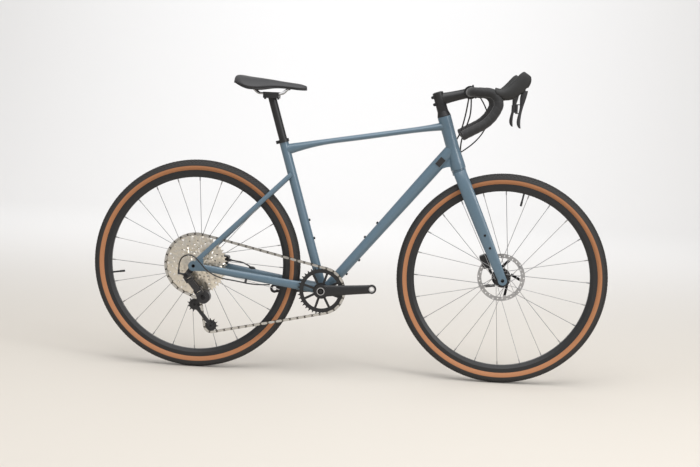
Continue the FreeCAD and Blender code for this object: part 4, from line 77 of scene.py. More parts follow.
def begin(name, **sockets):
    """A new material with the shader's even values set, its tree and the piece's own coordinates."""
    material = bpy.data.materials.new(name)
    material.use_nodes = True
    tree = material.node_tree
    shader = tree.nodes["Principled BSDF"]
    for socket, value in sockets.items():
        shader.inputs[socket.replace("_", " ")].default_value = value
    return material, tree, shader, add(tree, "TexCoord").outputs["Object"]


def toned(tree, noise, tones):
    """The colour of a grain that runs between two tones."""
    tint = add(tree, "ValToRGB", {"Fac": noise.outputs["Fac"]})
    for stop, tone, at in zip(tint.color_ramp.elements, tones, TONE_STOPS):
        stop.color, stop.position = linear(tone), at
    return tint.outputs["Color"]


def raised(tree, shader, noise, height_mm):
    """Lets a grain stand up from the surface by a height."""
    bump = add(tree, "Bump", {"Height": noise.outputs["Fac"], "Distance": height_mm * MM})
    tree.links.new(bump.outputs["Normal"], shader.inputs["Normal"])


def grain(tree, shader, place, size_mm, height_mm, tones, rough):
    """Fine unevenness of a finish: a grain of that size tints the colour, the gloss and the surface."""
    noise = add(tree, "TexNoise", {"Vector": place, "Scale": 1 / (size_mm * MM), "Detail": 3.0})
    gloss = add(tree, "MapRange", {"Value": noise.outputs["Fac"], "To Min": rough[0], "To Max": rough[1]})
    tree.links.new(toned(tree, noise, tones), shader.inputs["Base Color"])
    tree.links.new(gloss.outputs["Result"], shader.inputs["Roughness"])
    raised(tree, shader, noise, height_mm)


def dress(material, *names):
    """Gives pieces of the frame model their finish."""
    for name in names:
        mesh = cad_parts[name].data
        mesh.materials.clear()
        mesh.materials.append(material)


# Sprayed polyester paint: even colour, soft highlights and a faint orange-peel of 6 mm.
blue_paint, tree, shader, place = begin("satin_paint", IOR=1.5, Coat_Weight=0.3, Coat_Roughness=0.18)
grain(tree, shader, place, 6, 0.004, ("#556B7A", "#586E7D"), (0.3, 0.38))
dress(blue_paint, "head_tube", "top_tube", "down_tube", "seat_tube", "bottom_bracket_shell", "chainstays",
      "seatstays", "rear_dropouts", "fork")

# Bolted parts: forged and turned aluminium, bead-blasted and anodised black; the derailleur is dark grey.
# The film is matt with a dull sheen and shows the blasted grain close by.


def anodised(name, tones, rough):
    """Anodised aluminium: a blasted grain, drawn at 0.8 mm to show, under a hard dark film."""
    material, tree, shader, place = begin(name, Metallic=0.35)
    grain(tree, shader, place, 0.8, 0.01, tones, rough)
    return material


black_alloy = anodised("black_anodised", ("#272728", "#303031"), (0.36, 0.48))
grey_alloy = anodised("grey_anodised", ("#2E2E30", "#39393B"), (0.32, 0.44))
dress(black_alloy, "seat_collar", "seatpost", "saddle_clamp", "stem", "stem_faceplate", "headset_cover",
      "handlebar", "front_hub", "rear_hub", "front_rim", "rear_rim", "chainring", "crank_arm_left",
      "crank_arm_right", "derailleur_hanger", "front_brake_caliper", "rear_brake_caliper", "front_thru_axle",
      "rear_thru_axle", "stem_hardware")
dress(grey_alloy, "derailleur_b_knuckle", "derailleur_p_knuckle", "derailleur_outer_link",
      "derailleur_inner_link", "derailleur_cage")

# Moulded parts: cable ports, saddle base, levers, the shift paddle and the pulleys, in black nylon filled
# with glass. The mould gives them a fine matt grain.
nylon, tree, shader, place = begin("moulded_nylon", IOR=1.53)
grain(tree, shader, place, 0.9, 0.02, ("#19191B", "#222224"), (0.45, 0.6))
dress(nylon, "frame_fittings", "saddle_shell", "brake_lever_left", "brake_lever_right", "shift_paddle",
      "guide_pulley", "tension_pulley")

# Steel parts: bearings, spokes and rails of drawn stainless steel. Drawing and grinding leave fine lines
# that soften the highlights.


def ground_steel(name, tones, rough):
    """Stainless or plated steel: bright, with faint scratches about half a millimetre apart."""
    material, tree, shader, place = begin(name, Metallic=1.0)
    grain(tree, shader, place, 0.5, 0.0008, tones, rough)
    return material


bright_steel = ground_steel("ground_steel", ("#A6A6A8", "#BBBBBC"), (0.25, 0.38))
dress(bright_steel, "frame_bearings", "front_spokes", "rear_spokes", "saddle_rails")

# Wheels: each brake rotor is a ground steel band on a black alloy carrier, and each tyre a black tread
# on a tan cotton casing, with rows of low blocks moulded round the crown.
WHEELS = {"front": "front_wheel", "rear": "rear_wheel"}
CARRIER_RADIUS, TAN_RADIUS, BAND_BLUR = 62, 330.5, 0.5
ELLIPSE_TURN, CASING_WALL, CASING_STEPS, TYRE_STEPS = 141, 2, 28, 192
BLOCK_HEIGHT, BLOCK_SINK, BLOCK_LENGTH, BLOCK_WIDTH, BLOCKS = 1.4, 0.5, 6.4, 5.0, 176
BLOCK_ROWS = (-52, -35, -17.5, 0, 17.5, 35, 52)
BLOCK_LEVELS = ((-BLOCK_SINK, 1.0), (BLOCK_HEIGHT * 0.95, 0.82))
BLOCK_CORNERS = ((-1, -1), (1, -1), (1, 1), (-1, 1))


def from_axle(tree, place, axle):
    """How far a point of a wheel is from the wheel's axle."""
    away = add(tree, "VectorMath", {0: place, 1: axle}, operation="SUBTRACT")
    flat = add(tree, "VectorMath", {0: away.outputs["Vector"], 1: (1, 0, 1)}, operation="MULTIPLY")
    return add(tree, "VectorMath", {0: flat.outputs["Vector"]}, operation="LENGTH").outputs["Value"]


def banded(tree, shader, reach, edge, inner, outer, grain_mm, place):
    """Two colours that meet at a radius, each with its own grain of tones; on the crank caps the inner colour
    is painted shade.
    """
    side = add(tree, "MapRange", {
        "Value": reach, "From Min": (edge - BAND_BLUR) * MM, "From Max": (edge + BAND_BLUR) * MM})
    noise = add(tree, "TexNoise", {"Vector": place, "Scale": 1 / (grain_mm * MM), "Detail": 4.0})
    parts = {0: side.outputs["Result"], 6: toned(tree, noise, inner), 7: toned(tree, noise, outer)}
    both = add(tree, "Mix", parts, data_type="RGBA")
    tree.links.new(both.outputs[2], shader.inputs["Base Color"])
    return noise


def lathe(bm, place, profile, steps=48, closed=False):
    """Turns a profile of (reach, rise) round the Z axis of a place; a closed profile makes a ring."""
    turns = [2 * math.pi * count / steps for count in range(steps)]
    loops = []
    for reach, rise in profile:
        if reach:
            loops.append([bm.verts.new(place @ Vector((reach * math.cos(t), reach * math.sin(t), rise)))
                          for t in turns])
        else:
            loops.append([bm.verts.new(place @ Vector((0, 0, rise)))] * steps)
    pairs = list(zip(loops, loops[1:])) + ([(loops[-1], loops[0])] if closed else [])
    for first, second in pairs:
        for count in range(steps):
            corners = dict.fromkeys((first[count - 1], first[count], second[count], second[count - 1]))
            if len(corners) > 2:
                bm.faces.new(list(corners))


def piece(name, bm, material, body, crease=35):
    """Makes a mesh into a piece that rides on a body, smooth but for edges sharper than the crease."""
    bmesh.ops.recalc_face_normals(bm, faces=bm.faces)
    mesh = bpy.data.meshes.new(name)
    bm.to_mesh(mesh)
    bm.free()
    mesh.materials.append(material)
    mesh.shade_smooth()
    mesh.set_sharp_from_angle(angle=math.radians(crease))
    made = bpy.data.objects.new(name, mesh)
    bpy.context.scene.collection.objects.link(made)
    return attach(made, body) if body else made


def tread_block(bm, corner_sets):
    """A closed block from its lower and upper four corners."""
    low, high = [[bm.verts.new(corner) for corner in corners] for corners in corner_sets]
    bm.faces.new(low[::-1])
    bm.faces.new(high)
    for count in range(4):
        bm.faces.new((low[count - 1], low[count], high[count], high[count - 1]))


def casing(tyre_size, turn, shrink=0):
    """Reach and rise of a casing at an angle from its crown, for a ring radius, crown and half width."""
    ring_radius, crown, half = tyre_size
    angle = math.radians(turn)
    return (ring_radius + (crown - shrink) * math.cos(angle), (half - shrink) * math.sin(angle))


for wheel, body in WHEELS.items():
    low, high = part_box(f"{wheel}_tyre")
    axle, outer, half = (low + high) / 2, (high.z - low.z) / 2, (high.y - low.y) / 2
    tyre_size = outer - half, half - BLOCK_HEIGHT * MM, half
    stops = [ELLIPSE_TURN * (2 * count / CASING_STEPS - 1) for count in range(CASING_STEPS + 1)]
    profile = [casing(tyre_size, turn) for turn in stops]
    profile += [casing(tyre_size, turn, CASING_WALL * MM) for turn in stops[::-2]]
    upright = Matrix.Translation(axle) @ Matrix.Rotation(math.radians(-90), 4, "X")
    bm = bmesh.new()
    lathe(bm, upright, profile, TYRE_STEPS, closed=True)
    for row, turn in enumerate(BLOCK_ROWS):
        for count in range(BLOCKS):
            spin = Matrix.Rotation(2 * math.pi * (count + 0.5 * (row % 2)) / BLOCKS, 4, "Z")
            reach, rise = casing(tyre_size, turn)
            lean = math.radians(turn)
            out = Vector((math.cos(lean), 0, math.sin(lean)))
            across = Vector((-math.sin(lean), 0, math.cos(lean)))
            middle = Vector((reach, 0, rise))
            sets = []
            for lift, taper in BLOCK_LEVELS:
                sets.append([upright @ spin @ (
                    middle + out * (lift * MM) + across * (BLOCK_WIDTH / 2 * MM * taper * a)
                    + Vector((0, BLOCK_LENGTH / 2 * MM * taper * b, 0)))
                    for a, b in BLOCK_CORNERS])
            tread_block(bm, sets)
    # Vulcanised rubber on a skim-coated cotton casing: matt black, and tan with a faint thread of 0.9 mm.
    rubber, tree, shader, place = begin(f"{wheel}_tyre_rubber", IOR=1.52, Roughness=0.72)
    noise = banded(tree, shader, from_axle(tree, place, axle), TAN_RADIUS, ("#A06A45", "#B27A52"),
                   ("#242322", "#2F2D2C"), 0.9, place)
    raised(tree, shader, noise, 0.06)
    tyre = piece(f"{wheel}_tyre_tread", bm, rubber, body, crease=50)
    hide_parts(f"{wheel}_tyre")
    # The rotor's ground band and its black carrier, with fine grinding marks.
    disc, tree, shader, place = begin(f"{wheel}_rotor_steel", Metallic=0.9, Roughness=0.3)
    noise = banded(tree, shader, from_axle(tree, place, axle), CARRIER_RADIUS, ("#1D1D1F", "#262628"),
                   ("#A9A9AB", "#BEBEBF"), 0.7, place)
    raised(tree, shader, noise, 0.01)
    dress(disc, f"{wheel}_rotor")

# Crank caps and pedal threads: bright turned rings of aluminium; the near-black disc inside the crank's ring
# is painted shade standing in for the hollow of the spindle.
# They are pressed into the crank arms.
CAP_RADIUS = 10.5
low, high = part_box("chainring")
caps, tree, shader, place = begin("turned_aluminium_and_painted_shade", Metallic=0.85, Roughness=0.3)
# Within CAP_RADIUS of the crank axle the colour is near black: painted shade for the hollow of the spindle.
banded(tree, shader, from_axle(tree, place, (low + high) / 2), CAP_RADIUS, ("#121213", "#1A1A1B"),
       ("#B4B4B6", "#C8C8CA"), 0.6, place)
dress(caps, "crank_fittings")

# Cassette: stamped steel cogs, plated, with a ring of windows between each cog's teeth and the next cog.
# The windows are cut through a copy of the modelled cogs.
COG_TEETH, COG_PITCH, COG_STEP, FIRST_COG = (51, 45, 39, 33, 28, 24), 12.7, 3.65, -27.5
WINDOWS, WINDOW_RADIUS, WINDOW_SIDES, WINDOW_DEPTH, WINDOW_TWIST = 18, 2.9, 8, 3.0, 7
WINDOW_IN_SHARE, COG_WELD, COG_CREASE = 1.7, 0.005, 30
WINDOW_SHARES = ((0, 0), (1, 0), (1, 1), (0, 1))
cog_steel = ground_steel("stamped_cog_steel", ("#DDD6C9", "#EAE3D7"), (0.26, 0.36))


def mm(*numbers):
    """A vector given in millimetres."""
    return Vector(numbers) * MM


def aimed(point, out):
    """A place at a point, with Z along a direction."""
    turn = Vector(out).to_track_quat("Z", "Y").to_matrix().to_4x4()
    return Matrix.Translation(Vector(point)) @ turn


def modified(made):
    """Applies a piece's modifiers to its mesh."""
    bpy.context.view_layer.update()
    settled = bpy.data.meshes.new_from_object(made.evaluated_get(bpy.context.evaluated_depsgraph_get()))
    made.modifiers.clear()
    made.data = settled


low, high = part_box("rear_rotor")
axle = (low + high) / 2
bm = bmesh.new()
for count, (teeth, smaller) in enumerate(zip(COG_TEETH, COG_TEETH[1:])):
    reach = COG_PITCH * (teeth + smaller) / (4 * math.pi) - WINDOW_RADIUS * WINDOW_IN_SHARE
    for window in range(WINDOWS):
        angle = math.radians(360 / WINDOWS * window + WINDOW_TWIST * count)
        at = mm(reach * math.cos(angle), 0, reach * math.sin(angle)) + Vector((axle.x, 0, axle.z))
        at.y = (FIRST_COG - COG_STEP * count - WINDOW_DEPTH / 2) * MM
        profile = [(share * WINDOW_RADIUS * MM, rise * WINDOW_DEPTH * MM) for share, rise in WINDOW_SHARES]
        lathe(bm, aimed(at, (0, 1, 0)), profile, WINDOW_SIDES)
punch = piece("cassette_punch", bm, cog_steel, None)
cogs = bpy.data.objects.new("cassette_cogs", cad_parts["cassette"].data.copy())
bpy.context.scene.collection.objects.link(cogs)
cogs.data.materials.clear()
cogs.data.materials.append(cog_steel)
weld = cogs.modifiers.new("joined", "WELD")
weld.merge_threshold = COG_WELD * MM
windows = cogs.modifiers.new("windows", "BOOLEAN")
windows.object, windows.operation, windows.solver = punch, "DIFFERENCE", "EXACT"
modified(cogs)
cogs.data.shade_smooth()
cogs.data.set_sharp_from_angle(angle=math.radians(COG_CREASE))
bpy.data.objects.remove(punch)
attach(cogs, "cogs")
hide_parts("cassette")

# Chain: nickel-plated outer plates over darker, oiled inner links. The upper stretch, on the cogs and the
# ring, rides with the frame; the stretch under the cogs and the lower run are cut out as pieces of their own
# and left in place.
CHAIN_BENDS = {"upper": None, "turn": ((-500, 246), (-500, 226)), "lower": ((-305, 161), (-455, 128))}
LOWER_TOP, TURN_TOP, TURN_AHEAD, CHAIN_Y = 212, 248, -440, -45


def stretch_at(point):
    """Which stretch of the chain a point is in."""
    if point.z < LOWER_TOP * MM:
        return "lower"
    return "turn" if point.z < TURN_TOP * MM and point.x < TURN_AHEAD * MM else "upper"


plate_steel = ground_steel("nickel_plate", ("#BDBBB7", "#CDCBC7"), (0.16, 0.26))
pin_steel = ground_steel("oiled_steel", ("#5B5853", "#6C6963"), (0.3, 0.42))
for node, metal in (("chain_outer_links", plate_steel), ("chain_inner_links", pin_steel)):
    for stretch, bend in CHAIN_BENDS.items():
        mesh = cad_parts[node].data.copy()
        bm = bmesh.new()
        bm.from_mesh(mesh)
        others = [face for face in bm.faces if stretch_at(face.calc_center_median()) != stretch]
        bmesh.ops.delete(bm, geom=others, context="FACES")
        bm.to_mesh(mesh)
        bm.free()
        mesh.materials.clear()
        mesh.materials.append(metal)
        links = bpy.data.objects.new(f"{node}_{stretch}", mesh)
        bpy.context.scene.collection.objects.link(links)
        if bend:
            start, end = [mm(x, CHAIN_Y, z) for x, z in bend]
            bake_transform(links)
        else:
            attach(links, "frame")
        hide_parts(node)

# Bolts: socket heads of blackened steel on the bottle bosses, the fork, the stem and the derailleur, and the
# round caps of the callipers. Each head is domed, with a six-sided recess for the key.
HEAD_SHARES = ((1.0, 0.0), (1.0, 0.45), (0.82, 0.88), (0.62, 1.0))
KEY_SHARE, KEY_DEPTH_SHARE, HEAD_SIDES, KEY_HALF_FACE = 0.46, 0.4, 24, math.pi / 6
black_steel, tree, shader, place = begin("blackened_steel", Metallic=0.6)
grain(tree, shader, place, 0.6, 0.006, ("#1E1E20", "#2C2C2E"), (0.3, 0.42))


def bolt(bm, point, out, radius, height):
    """A socket head that stands on a point and faces a direction."""
    place, loops = aimed(point, out), []
    turns = [2 * math.pi * count / HEAD_SIDES for count in range(HEAD_SIDES)]
    rows = [([radius * share] * HEAD_SIDES, height * rise) for share, rise in HEAD_SHARES]
    swings = [(turn + KEY_HALF_FACE) % (2 * KEY_HALF_FACE) - KEY_HALF_FACE for turn in turns]
    key = [radius * KEY_SHARE / math.cos(swing) for swing in swings]
    rows += [(key, height), (key, height * KEY_DEPTH_SHARE)]
    for reaches, rise in rows:
        loops.append([bm.verts.new(place @ Vector((reach * math.cos(turn), reach * math.sin(turn), rise)))
                      for reach, turn in zip(reaches, turns)])
    for first, second in zip(loops, loops[1:]):
        for count in range(HEAD_SIDES):
            bm.faces.new((first[count - 1], first[count], second[count], second[count - 1]))
    bm.faces.new(loops[0][::-1])
    bm.faces.new(loops[-1])


TUBE_TOP, TUBE_UNDER, SEAT_OUT = (-0.765, 0, 0.644), (0.765, 0, -0.644), (0.956, 0, 0.292)
BOSS_RISE, BOSS_HEAD, BOSS_HEAD_HEIGHT = 2.15, 4.3, 2.6
BOSSES = (((51.43, 0, 467.49), TUBE_TOP), ((90.85, 0, 516.65), TUBE_TOP),
          ((-6.59, 0, 341.2), TUBE_UNDER), ((33.52, 0, 389.78), TUBE_UNDER),
          ((-121.08, 0, 456.0), SEAT_OUT), ((-139.5, 0, 516.25), SEAT_OUT))
bm = bmesh.new()
for point, out in BOSSES:
    bolt(bm, mm(*point) + Vector(out) * (BOSS_RISE * MM), out, BOSS_HEAD * MM, BOSS_HEAD_HEIGHT * MM)
piece("bottle_bolts", bm, black_steel, "frame")

FORK_BOLTS, FORK_HEAD, FORK_HEAD_HEIGHT, FORK_CLEAR = ((447.5, 498), (466, 457)), 4.0, 2.2, 200
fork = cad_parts["fork"]
bm = bmesh.new()
for x, z in FORK_BOLTS:
    for side in (1, -1):
        found, point, out, face = fork.ray_cast(mm(x, side * FORK_CLEAR, z), Vector((0, -side, 0)))
        if found:
            bolt(bm, point, out, FORK_HEAD * MM, FORK_HEAD_HEIGHT * MM)
piece("fork_bolts", bm, black_steel, "steering")

STEM_AHEAD, FACE_BOLTS, FACE_SIDE = (0.965, 0, 0.2622), ((382.9, 984.4), (392.8, 947.8)), 16
FACE_LIFT, FACE_HEAD, FACE_HEAD_HEIGHT = 0.15, 4.2, 4.4
bm = bmesh.new()
for x, z in FACE_BOLTS:
    for side in (1, -1):
        seat = mm(x, side * FACE_SIDE, z) + Vector(STEM_AHEAD) * (FACE_LIFT * MM)
        bolt(bm, seat, STEM_AHEAD, FACE_HEAD * MM, FACE_HEAD_HEIGHT * MM)
piece("faceplate_bolts", bm, black_steel, "steering")

DRIVE_SIDE, FAR_SIDE = (0, -1, 0), (0, 1, 0)
PINCH_BOLTS, EAR_END = ((253.9, 941.1), (261.3, 918.2)), 12
SIDE_BOLTS = (("cage", "pulley", DRIVE_SIDE, 4.6, 2.2, ((-512.5, -32.8, 215.0), (-454.8, -32.8, 145.9))),
              ("p_knuckle", "clutch", DRIVE_SIDE, 8.0, 2.4, ((-478.0, -66.0, 246.0),)),
              ("frame", "hanger", DRIVE_SIDE, 7.0, 2.6, ((-530.5, -104.5, 322.0),)),
              ("steering", "stem_near", DRIVE_SIDE, 4.2, 4.4, [(x, -EAR_END, z) for x, z in PINCH_BOLTS]),
              ("steering", "stem_far", FAR_SIDE, 4.2, 4.4, [(x, EAR_END, z) for x, z in PINCH_BOLTS]),
              ("frame", "rear_calliper", FAR_SIDE, 9.5, 2.4, ((-436.5, 78.8, 364.5),)),
              ("steering", "front_calliper", FAR_SIDE, 9.5, 2.4, ((455.6, 57.8, 402.2),)))
for body, name, out, radius, height, points in SIDE_BOLTS:
    bm = bmesh.new()
    for point in points:
        bolt(bm, mm(*point), out, radius * MM, height * MM)
    piece(f"{name}_bolts", bm, black_steel, body)

# Stem ears: forged lugs behind the steerer clamp, one pair to each pinch bolt, with the slot between them.
# They are black alloy like the stem and grow out of its back.
EAR_RADIUS, EAR_AHEAD = 5.2, (6.7, 2.1)
EAR_ROWS = ((1.2, 0.95), (1.8, 1.0), (11.4, 1.0), (12.1, 0.93))


def stretched(bm, circles, rows, steps=40):
    """A bar along Y with a skin stretched round circles of (x, z, radius); its rows are (y, share)."""
    outline = []
    for count in range(steps):
        turn = 2 * math.pi * count / steps
        way = Vector((math.cos(turn), math.sin(turn)))
        x, z, radius = max(circles, key=lambda circle: circle[0] * way.x + circle[1] * way.y + circle[2])
        outline.append(Vector((x, z)) + way * radius)
    middle = sum(outline, Vector((0, 0))) / steps
    loops = []
    for y, share in rows:
        section = [middle.lerp(point, share) for point in outline]
        loops.append([bm.verts.new(mm(point.x, y, point.y)) for point in section])
    for first, second in zip(loops, loops[1:]):
        for count in range(steps):
            bm.faces.new((first[count - 1], first[count], second[count], second[count - 1]))
    bm.faces.new(loops[0])
    bm.faces.new(loops[-1])


bm = bmesh.new()
for x, z in PINCH_BOLTS:
    for side in (1, -1):
        stretched(bm, ((x, z, EAR_RADIUS), (x + EAR_AHEAD[0], z + EAR_AHEAD[1], EAR_RADIUS)),
                  [(side * y, share) for y, share in EAR_ROWS])
piece("stem_ears", bm, black_alloy, "steering")

# Bar tape: a grained cork-and-foam ribbon wound up each side of the bar, each turn half over the last.
# A moulded plug closes each end.
TAPE_REACH, TAPE_RIDGE, TAPE_PITCH, TAPE_SIDES, TAPE_STEP = 14.6, 0.9, 21, 32, 2.1
TAPE_FALL = 0.6
BAR_CORNERS = ((377.07, 58, 963.16), (377.07, 198, 963.16), (483.07, 206, 963.16), (441.07, 217, 873.16),
               (355.07, 232, 825.16))
BAR_BENDS = (42, 36, 120)
PLUG_SHARES = ((0, 0.0), (1.0, 0.0), (1.0, 0.35), (0.86, 0.75), (0.5, 1.0), (0, 1.0))
PLUG_RADIUS, PLUG_LENGTH = 15.3, 6


def bent_line(corners, bends, step):
    """Points a step apart along straight runs joined by round bends."""
    line = [corners[0]]
    for before, corner, after, bend in zip(corners, corners[1:], corners[2:], bends):
        back, ahead = (before - corner).normalized(), (after - corner).normalized()
        half = back.angle(ahead) / 2
        centre = corner + (back + ahead).normalized() * (bend / math.sin(half))
        first, last = corner + back * (bend / math.tan(half)), corner + ahead * (bend / math.tan(half))
        swing, axis = math.pi - 2 * half, (first - centre).cross(last - centre)
        count = max(4, round(swing * bend / step))
        line += [centre + Matrix.Rotation(swing * n / count, 3, axis) @ (first - centre)
                 for n in range(count + 1)]
    line.append(corners[-1])
    spaced, left = [line[0]], step
    for start, end in zip(line, line[1:]):
        run = (end - start).length
        while left <= run:
            spaced.append(start.lerp(end, left / run))
            left += step
        left -= run
    return spaced


# Cork-filled foam: soft black with a pricked grain of 1.5 mm.
tape_foam, tree, shader, place = begin("cork_foam_tape", IOR=1.45, Sheen_Weight=0.2, Sheen_Roughness=0.5)
grain(tree, shader, place, 1.5, 0.12, ("#161617", "#232324"), (0.6, 0.75))
for name, side in (("left", 1), ("right", -1)):
    corners = [mm(x, side * y, z) for x, y, z in BAR_CORNERS]
    line = bent_line(corners, [bend * MM for bend in BAR_BENDS], TAPE_STEP * MM)
    bm, loops = bmesh.new(), []
    normal = Vector((0, 0, 1))
    for count, point in enumerate(line):
        along = (line[min(count + 1, len(line) - 1)] - line[max(count - 1, 0)]).normalized()
        normal = (normal - along * normal.dot(along)).normalized()
        across = along.cross(normal)
        loop = []
        for turn in range(TAPE_SIDES):
            angle = 2 * math.pi * turn / TAPE_SIDES
            wrap = (count * TAPE_STEP / TAPE_PITCH + turn / TAPE_SIDES) % 1
            reach = (TAPE_REACH + TAPE_RIDGE * (1 - wrap) ** TAPE_FALL) * MM
            loop.append(bm.verts.new(point + (normal * math.cos(angle) + across * math.sin(angle)) * reach))
        loops.append(loop)
    for first, second in zip(loops, loops[1:]):
        for turn in range(TAPE_SIDES):
            bm.faces.new((first[turn - 1], first[turn], second[turn], second[turn - 1]))
    bm.faces.new(loops[0])
    bm.faces.new(loops[-1])
    tape = piece(f"{name}_bar_tape", bm, tape_foam, "steering", crease=60)
    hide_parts("bar_tape")
    bm = bmesh.new()
    lathe(bm, aimed(corners[-1], corners[-1] - corners[-2]),
          [(PLUG_RADIUS * MM * reach, PLUG_LENGTH * MM * rise) for reach, rise in PLUG_SHARES])
    plug = piece(f"{name}_bar_plug", bm, nylon, "steering")
    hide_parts("bar_tape")

# Finishing tape: a band of black tape at the inner end of each wound side, pulled round the bar and the hose
# that comes out from under it.
BAND_ROWS = ((45.4, 0.95), (46, 1.0), (61, 1.0), (61.6, 0.95))
BAND_RADIUS, BAND_HOSE_RADIUS, BAND_HOSE_AHEAD, BAND_HOSE_DROP = 15.9, 3.6, 5.1, 17.4
for name, side in (("left", 1), ("right", -1)):
    x, z = BAR_CORNERS[0][0], BAR_CORNERS[0][2]
    bm = bmesh.new()
    stretched(bm, ((x, z, BAND_RADIUS), (x + side * BAND_HOSE_AHEAD, z - BAND_HOSE_DROP, BAND_HOSE_RADIUS)),
              [(side * y, share) for y, share in BAND_ROWS])
    piece(f"{name}_finishing_tape", bm, tape_foam, "steering")

# Lever hoods: moulded rubber covers over the lever bodies, with a fine pimpled grip of 1.6 mm.
# They are softer and more matt than the levers.
HOOD_WELD, HOOD_VOXEL, HOOD_EASE = 0.02, 1.8, 14
hood_rubber, tree, shader, place = begin("moulded_rubber", IOR=1.52)
grain(tree, shader, place, 1.6, 0.1, ("#191919", "#242424"), (0.58, 0.72))
dress(hood_rubber, "lever_hoods")
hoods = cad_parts["lever_hoods"]
weld = hoods.modifiers.new("joined", "WELD")
weld.merge_threshold = HOOD_WELD * MM
even = hoods.modifiers.new("even", "REMESH")
even.mode, even.voxel_size, even.use_smooth_shade = "VOXEL", HOOD_VOXEL * MM, True
soft = hoods.modifiers.new("soft", "SMOOTH")
soft.factor, soft.iterations = 0.5, HOOD_EASE

# Saddle: foam on the nylon base, covered in a matt synthetic leather stretched tight.
# The pad is blown up a little from its plain form, so that its crown and edges are full.
PAD_START_IN, PAD_DEPTH, PAD_SWELL, PAD_FRAMES, PAD_PRESSURE = 0.8, 7, 1.6, 16, 4
PAD_WELD, PAD_FIT, PAD_LEAST, PAD_EASE, PAD_EASES = 0.05, 0.9, 0.001, 0.4, 2
cover, tree, shader, place = begin("synthetic_leather", IOR=1.5, Sheen_Weight=0.1)
grain(tree, shader, place, 1.2, 0.06, ("#1D1D1F", "#2A2A2C"), (0.48, 0.62))
pad = bpy.data.objects.new("saddle_pad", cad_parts["saddle_cushion"].data.copy())
bpy.context.scene.collection.objects.link(pad)
pad.data.materials.clear()
pad.data.materials.append(cover)
weld = pad.modifiers.new("joined", "WELD")
weld.merge_threshold = PAD_WELD * MM
remesh = pad.modifiers.new("even", "REMESH")
remesh.mode, remesh.octree_depth, remesh.scale = "SHARP", PAD_DEPTH, PAD_FIT
modified(pad)
upward = [max(0.0, vertex.normal.z) for vertex in pad.data.vertices]
start = [vertex.co - vertex.normal * (PAD_START_IN * MM * up)
         for vertex, up in zip(pad.data.vertices, upward)]
for vertex, point in zip(pad.data.vertices, start):
    vertex.co = point
cloth = pad.modifiers.new("blown", "CLOTH")
cloth.settings.use_pressure = True
cloth.settings.uniform_pressure_force = PAD_PRESSURE
cloth.settings.effector_weights.gravity = 0
for step in range(1, PAD_FRAMES + 1):
    bpy.context.scene.frame_set(step)
modified(pad)
bpy.context.scene.frame_set(1)
for vertex, point, up in zip(pad.data.vertices, start, upward):
    moved = vertex.co - point
    vertex.co = point + moved * min(1.0, PAD_SWELL * MM * up / max(moved.length, PAD_LEAST * MM))
eased = pad.modifiers.new("eased", "SMOOTH")
eased.factor, eased.iterations = PAD_EASE, PAD_EASES
fine = pad.modifiers.new("fine", "SUBSURF")
fine.levels = fine.render_levels = 1
modified(pad)
pad.data.shade_smooth()
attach(pad, "seat")
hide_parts("saddle_cushion")

# Hoses and housings: black nylon hose for the brakes and lined housing for the shift cable.
# Three leave the bar and go into the frame and fork, and two run beside the rear dropouts.
HOSE, HOUSING, HOSE_RINGS, HOSE_STEPS = 5.0, 4.4, 4, 16
ROUTES = {
    "rear_brake_hose_front": (HOSE, (
        (372.0, -52.3, 945.7), (366.8, -41.0, 902.7), (359.7, -13.3, 863.7), (350.4, 24.6, 823.8),
        (326.9, 40.0, 782.8), (307.4, 37.9, 751.0), (296.5, 24.9, 738.9))),
    "shift_housing_front": (HOUSING, (
        (402.7, -179.4, 949.8), (427.3, -172.2, 915.0), (435.5, -145.5, 870.9), (421.2, -103.5, 833.0),
        (397.6, -58.4, 801.2), (370.9, -12.3, 776.6), (344.3, 35.9, 756.1), (313.5, 42.0, 735.6),
        (283.2, 24.9, 722.6))),
    "front_brake_hose_line": (HOSE, (
        (382.2, 52.3, 945.7), (385.3, 48.2, 901.7), (373.0, 46.1, 855.5), (357.6, 47.1, 813.5),
        (353.5, 50.2, 768.4), (361.7, 52.3, 723.3), (370.0, 47.6, 683.9))),
    "rear_brake_hose_end": (HOSE, (
        (-413.8, 62.0, 361.0), (-391.0, 62.0, 357.6), (-359.8, 55.7, 354.4), (-336.5, 55.7, 339.4))),
    "rear_shift_housing": (HOUSING, (
        (-558.5, -89.0, 338.7), (-558.5, -89.0, 368.4), (-538.1, -93.3, 388.9), (-510.4, -94.3, 388.9),
        (-485.9, -94.3, 364.3), (-462.3, -90.2, 336.6), (-422.3, -79.9, 315.1), (-367.0, -68.7, 306.9),
        (-309.6, -61.5, 295.6), (-258.6, -45.5, 296.8)))}
# Extruded nylon: smooth, with a soft line of light along it.
hose_nylon, tree, shader, place = begin("extruded_nylon", IOR=1.53)
grain(tree, shader, place, 3, 0.01, ("#151516", "#1E1E1F"), (0.36, 0.46))


def hose(name, diameter, route):
    """A hose along a smooth line that its route controls."""
    curve = bpy.data.curves.new(name + "_route", "CURVE")
    curve.dimensions = "3D"
    spline = curve.splines.new("NURBS")
    spline.points.add(len(route) - 1)
    for control, point in zip(spline.points, route):
        control.co = (*mm(*point), 1)
    spline.order_u = 3
    spline.use_endpoint_u = True
    spline.resolution_u = HOSE_STEPS
    line = bpy.data.objects.new(name + "_route", curve)
    path = [vertex.co.copy() for vertex in bpy.data.meshes.new_from_object(line).vertices]
    curve.bevel_depth = diameter / 2 * MM
    curve.bevel_resolution = HOSE_RINGS
    curve.use_fill_caps = True
    made = bpy.data.objects.new(name, bpy.data.meshes.new_from_object(line))
    bpy.data.objects.remove(line)
    made.data.materials.clear()
    made.data.materials.append(hose_nylon)
    made.data.shade_smooth()
    bpy.context.scene.collection.objects.link(made)
    return made


